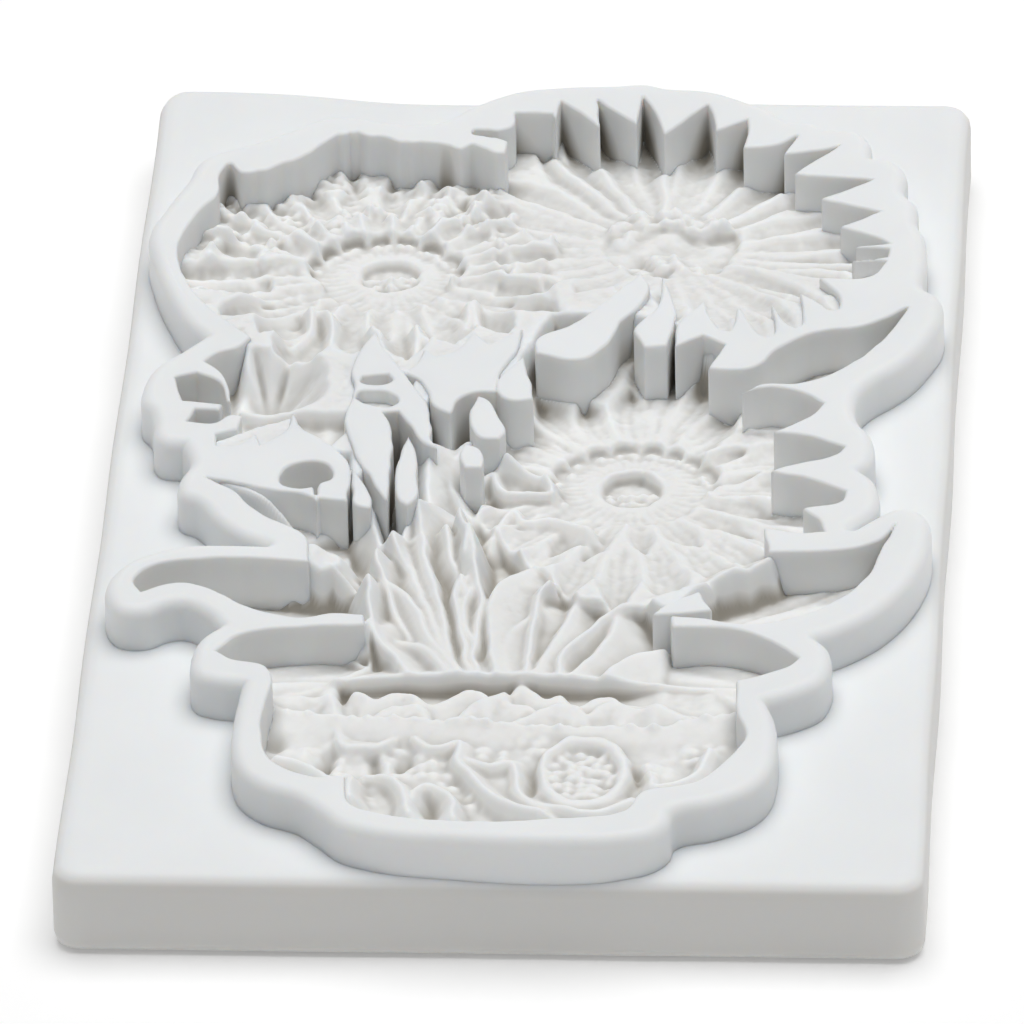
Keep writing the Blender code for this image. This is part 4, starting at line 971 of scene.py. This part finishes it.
def make_rim(material, edge_distance, outer_distance):
    """The rim and webs: a round-edged top, an underside and the walls between them.

    Its walls carry painted shade, darker towards their foot and where the silicone stands closely about
    them."""
    places, quads, cut_faces, edges = cut_cells(edge_distance)
    x, y = grid_points(places)
    inward = np.maximum(at_places(edge_distance, places), 0.0)
    gy, gx = (at_places(part, places) for part in np.gradient(edge_distance, STEP))
    steep = np.maximum(np.hypot(gx, gy), 1e-6)
    # Inner points are nearer to the cavity's edge than to the rim's outer one.
    inner = at_places(outer_distance, places) > inward + 0.5
    radius = np.where(inner, INNER_ROUND, OUTER_ROUND)
    inward[X.size:] = 0.0
    short = np.clip(radius - inward, 0.0, radius)
    rise = np.sqrt(radius**2 - short**2)
    slope = short / np.maximum(rise, 1e-3) / steep
    normals = np.stack([-slope * gx, -slope * gy, np.ones(len(x))], axis=1)
    normals /= np.linalg.norm(normals, axis=1)[:, None]

    count = len(places)
    top = np.stack([x, y, RIM_TOP - radius + rise], axis=1)
    foot = np.stack([x, y, np.full(count, RIM_FOOT)], axis=1)
    foot_normals = normals.copy()
    foot_normals[:X.size] = (0.0, 0.0, -1.0)
    faces = list(quads) + [np.array(face) for face in cut_faces]
    under = [face[::-1] + count for face in faces]
    walls = [np.array([b, a, a + count, b + count]) for a, b in edges]

    # Painted shade: inner walls darken towards their foot, more in narrow slits, with painted stripes of
    # shade along the fluted far wall; outer walls darken a little at their foot.
    open_share = at_places(blur((edge_distance < 0).astype(float), 1.4), places)
    shade_stripes = at_places(1.2 * noise(1.3, 103, 6.0) * FLUTED, places)
    foot_shade = np.clip(0.8 + 4.5 * (0.47 - open_share) + shade_stripes, 0.2, 2.4)
    edge_shade = np.clip(0.8 * (0.45 - open_share) + 0.4 * shade_stripes, 0.0, 0.6)
    shade = np.concatenate([np.where(inner & (inward < 0.05), edge_shade, 0.0),
                            np.where(inner, foot_shade, 0.3)])
    return mesh_object("rim", np.concatenate([top, foot]), faces + under + walls, material,
                       np.concatenate([normals, foot_normals]), shade)


def longest_loop(places, edges):
    """The longest closed chain of cut edges, as (x, y) points."""
    following = dict(edges)
    best = []
    while following:
        start, here = following.popitem()
        chain = [start]
        while here != start:
            chain.append(here)
            here = following.pop(here)
        if len(chain) > len(best):
            best = chain
    return np.stack(grid_points(places[best]), axis=1)


def slab_loop(inset, z, wave):
    """The slab's slightly uneven outline at one height, inset from its full size."""
    corner_steps, side_steps = 12, 40
    radius = SLAB_CORNER - inset * 0.8
    half_x, half_y = SLAB_WIDTH / 2 - inset - radius, SLAB_LENGTH / 2 - inset - radius
    signs = [(1, 1), (-1, 1), (-1, -1), (1, -1)]
    loop = []
    for corner, (sx, sy) in enumerate(signs):
        for k in range(corner_steps):
            turn = (corner + k / corner_steps) * math.pi / 2
            loop.append((*around((sx * half_x, sy * half_y), radius, turn), turn))
        turn = (corner + 1) * math.pi / 2
        next_x, next_y = signs[(corner + 1) % 4]
        for t in np.arange(side_steps) / side_steps:
            start = (mix(sx, next_x, t) * half_x, mix(sy, next_y, t) * half_y)
            loop.append((*around(start, radius, turn), turn))
    shaken = []
    for x, y, turn in loop:
        nx, ny = math.cos(turn), math.sin(turn)
        sway = 0.09 * (1 - math.sin(x / 4.1 + wave[0]) * math.cos(y / 5.3 + wave[1]))
        far_bow = 1.3 * ease(-12.0, -32.0, x) - 0.7 * ease(16.0, 4.0, abs(x + 10.0))
        shaken.append((x - nx * sway - BOUQUET_ORIGIN[0],
                       y - ny * sway + max(ny, 0.0) * far_bow - BOUQUET_ORIGIN[1], z))
    return shaken


def ring_of(first, count):
    """The numbers of a closed ring of points, each with the one after it."""
    return [(first + k, first + (k + 1) % count) for k in range(count)]


def slab_top(edge, pocket, first):
    """The flat top between the slab's edge and the pocket, its points numbered from first."""
    flat = [Vector(point) for point in np.concatenate([edge, pocket])]
    borders = ring_of(0, len(edge)) + ring_of(len(edge), len(pocket))
    filled, _, triangles, *_ = delaunay_2d_cdt(flat, borders, [], 1, 1e-6)
    pocket_distance = signed_distance([pocket])
    faces = []
    for triangle in triangles:
        middle = sum((filled[k] for k in triangle), Vector((0, 0))) / 3
        j = min(max(round((middle.y - YS[0]) / STEP), 0), len(YS) - 1)
        i = min(max(round((middle.x - XS[0]) / STEP), 0), len(XS) - 1)
        if pocket_distance[j, i] < 0:
            faces.append(np.array([first + k for k in triangle]))
    return [(point.x, point.y, SLAB_TOP) for point in filled], faces


def make_slab(material, outer_distance):
    """A soft-edged slab with a pocket under the relief, its sides lofted loop by loop."""
    wave = np.random.default_rng(5).uniform(0, math.tau, 8)
    insets_and_heights = [
        (0.7, 0.0), (0.15, 0.35), (0.0, 1.0), (0.0, 6.0), (0.12, 6.75), (0.45, 7.3),
        (0.95, 7.58), (1.7, SLAB_TOP), (2.2, SLAB_TOP), (2.7, SLAB_TOP)]
    loops = [slab_loop(inset, z, wave) for inset, z in insets_and_heights]
    count = len(loops[0])
    points = [point for loop in loops for point in loop]
    faces = [np.arange(count)[::-1]]
    for level in range(len(loops) - 1):
        faces += [np.array([a, b, b + count, a + count]) for a, b in ring_of(level * count, count)]
    places, _, _, edges = cut_cells(outer_distance - POCKET_INSET)
    pocket = longest_loop(places, edges)
    top_points, top_faces = slab_top(np.array(loops[-1])[:, :2], pocket, len(points))
    points += top_points
    faces += top_faces
    lip, size = len(points), len(pocket)
    points += [(x, y, z) for z in (SLAB_TOP, POCKET_FLOOR) for x, y in pocket]
    faces += [np.array([b, a, a + size, b + size]) for a, b in ring_of(lip, size)]
    faces.append(np.arange(lip + size, lip + 2 * size)[::-1])
    points = np.array(points)
    # Painted shade that darkens the slab's sides below its top.
    shade = np.interp(points[:, 2], (7.0, 7.6), (0.5, 0.0))
    return mesh_object("slab", points, faces, material, None, shade)


def make_relief(material, depth, edge_distance, outer_distance):
    """The floor of the cavity, reaching a little way into the rim, with painted shade in its hollows."""
    lap = 0.3
    cavity = (edge_distance < lap) & (outer_distance > lap)
    number = np.arange(X.size).reshape(X.shape)
    cell = cavity[:-1, :-1] & cavity[1:, :-1] & cavity[:-1, 1:] & cavity[1:, 1:]
    quads = np.stack([number[:-1, :-1][cell], number[:-1, 1:][cell], number[1:, 1:][cell],
                      number[1:, :-1][cell]], axis=1)
    points = np.stack([X.ravel(), Y.ravel(), RIM_TOP - depth.ravel()], axis=1)
    filled = np.where(edge_distance > 0, 0.0, depth)
    # Painted shade: darker where the relief lies deeper than its surroundings, in creases and pits and at
    # the foot of the rim.
    shade = (0.38 + 0.85 * (depth - blur(depth, 0.3)) + 0.34 * (depth - blur(depth, 0.9))
             + 0.13 * (filled - blur(filled, 1.1)))
    shade = np.clip(shade, 0.0, 1.0).ravel()
    return mesh_object("relief", points, list(quads), material, None, shade)


def make_camera():
    """A long lens that looks down on the mould from the front."""
    camera = bpy.data.cameras.new("camera")
    camera.sensor_width = 36.0
    camera.lens = CAMERA_LENS
    camera.clip_start, camera.clip_end = 0.1, 10.0
    elevation, azimuth = math.radians(CAMERA_ELEVATION), math.radians(CAMERA_AZIMUTH)
    roll = math.radians(CAMERA_ROLL)
    forward = Vector((-math.sin(azimuth) * math.cos(elevation),
                      math.cos(azimuth) * math.cos(elevation), -math.sin(elevation)))
    right = Vector((math.cos(azimuth), math.sin(azimuth), 0.0))
    up = right.cross(forward)
    turned_right = right * math.cos(roll) + up * math.sin(roll)
    turned_up = up * math.cos(roll) - right * math.sin(roll)
    turn = Matrix((turned_right, turned_up, -forward)).transposed()
    place = Vector(CAMERA_AIM) * MM - forward * CAMERA_DISTANCE
    obj = add_object("camera", camera)
    obj.matrix_world = Matrix.Translation(place) @ turn.to_4x4()
    bpy.context.scene.camera = obj


def make_studio():
    """A white floor under one large soft lamp, in an evenly pale room."""
    floor_material = bpy.data.materials.new("floor")
    floor_material.use_nodes = True
    white = (1.0, 1.0, 1.0, 1.0)
    set_inputs(floor_material.node_tree.nodes["Principled BSDF"], Roughness=0.9,
               Base_Color=(0.96, 0.96, 0.96, 1.0), Emission_Color=white, Emission_Strength=0.13)
    mesh = bmesh.new()
    bmesh.ops.create_grid(mesh, x_segments=1, y_segments=1, size=3.0)
    data = bpy.data.meshes.new("floor")
    mesh.to_mesh(data)
    mesh.free()
    data.materials.append(floor_material)
    floor = add_object("floor", data)
    floor.location.z = -0.0002

    lamp = bpy.data.lights.new("overhead", "AREA")
    lamp.shape = "RECTANGLE"
    lamp.size, lamp.size_y = 1.4, 1.4
    lamp.energy = 19.2
    add_object("overhead", lamp).location = (0.12, 0.25, 1.4)

    world = bpy.data.worlds.new("studio")
    world.use_nodes = True
    set_inputs(world.node_tree.nodes["Background"], Color=white, Strength=0.2)
    bpy.context.scene.world = world
    bpy.context.scene.view_settings.view_transform = "Standard"


def main():
    """Builds the three pieces on the root body in place of the model's parts, and sets the camera and
    lights.
    """
    for obj in list(bpy.context.scene.objects):
        if obj.type in ("CAMERA", "LIGHT"):
            bpy.data.objects.remove(obj, do_unlink=True)
    outer_loop = smooth(OUTER)
    loops = [outer_loop, smooth(CAVITY)] + [smooth(web) for web in WEBS.values()]
    loops += [smooth(hole, HOLE_CORNER_DEGREES) for hole in HOLES.values()]
    outer_distance = signed_distance([outer_loop])
    edge_distance = signed_distance(loops)
    edge_distance += (0.7 * noise(1.15, 101, 6.0) * FLUTED * ease(1.4, 2.2, outer_distance)
                      + 0.10 * noise(1.6, 102) * ease(1.2, 2.0, outer_distance))
    depth = relief_depth()
    material = silicone()
    rim = make_rim(material, edge_distance, outer_distance)
    relief = make_relief(material, depth, edge_distance, outer_distance)
    slab = make_slab(material, outer_distance)
    nodes = list(frame["nodes"])
    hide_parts("base_slab")
    crests = [name for name in nodes if name.startswith("floor") or name == "spike_front"]
    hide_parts(*crests)
    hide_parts(*[name for name in nodes if name != "base_slab" and name not in crests])
    for piece in (slab, rim, relief):
        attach(piece, "root")
    make_camera()
    make_studio()


main()
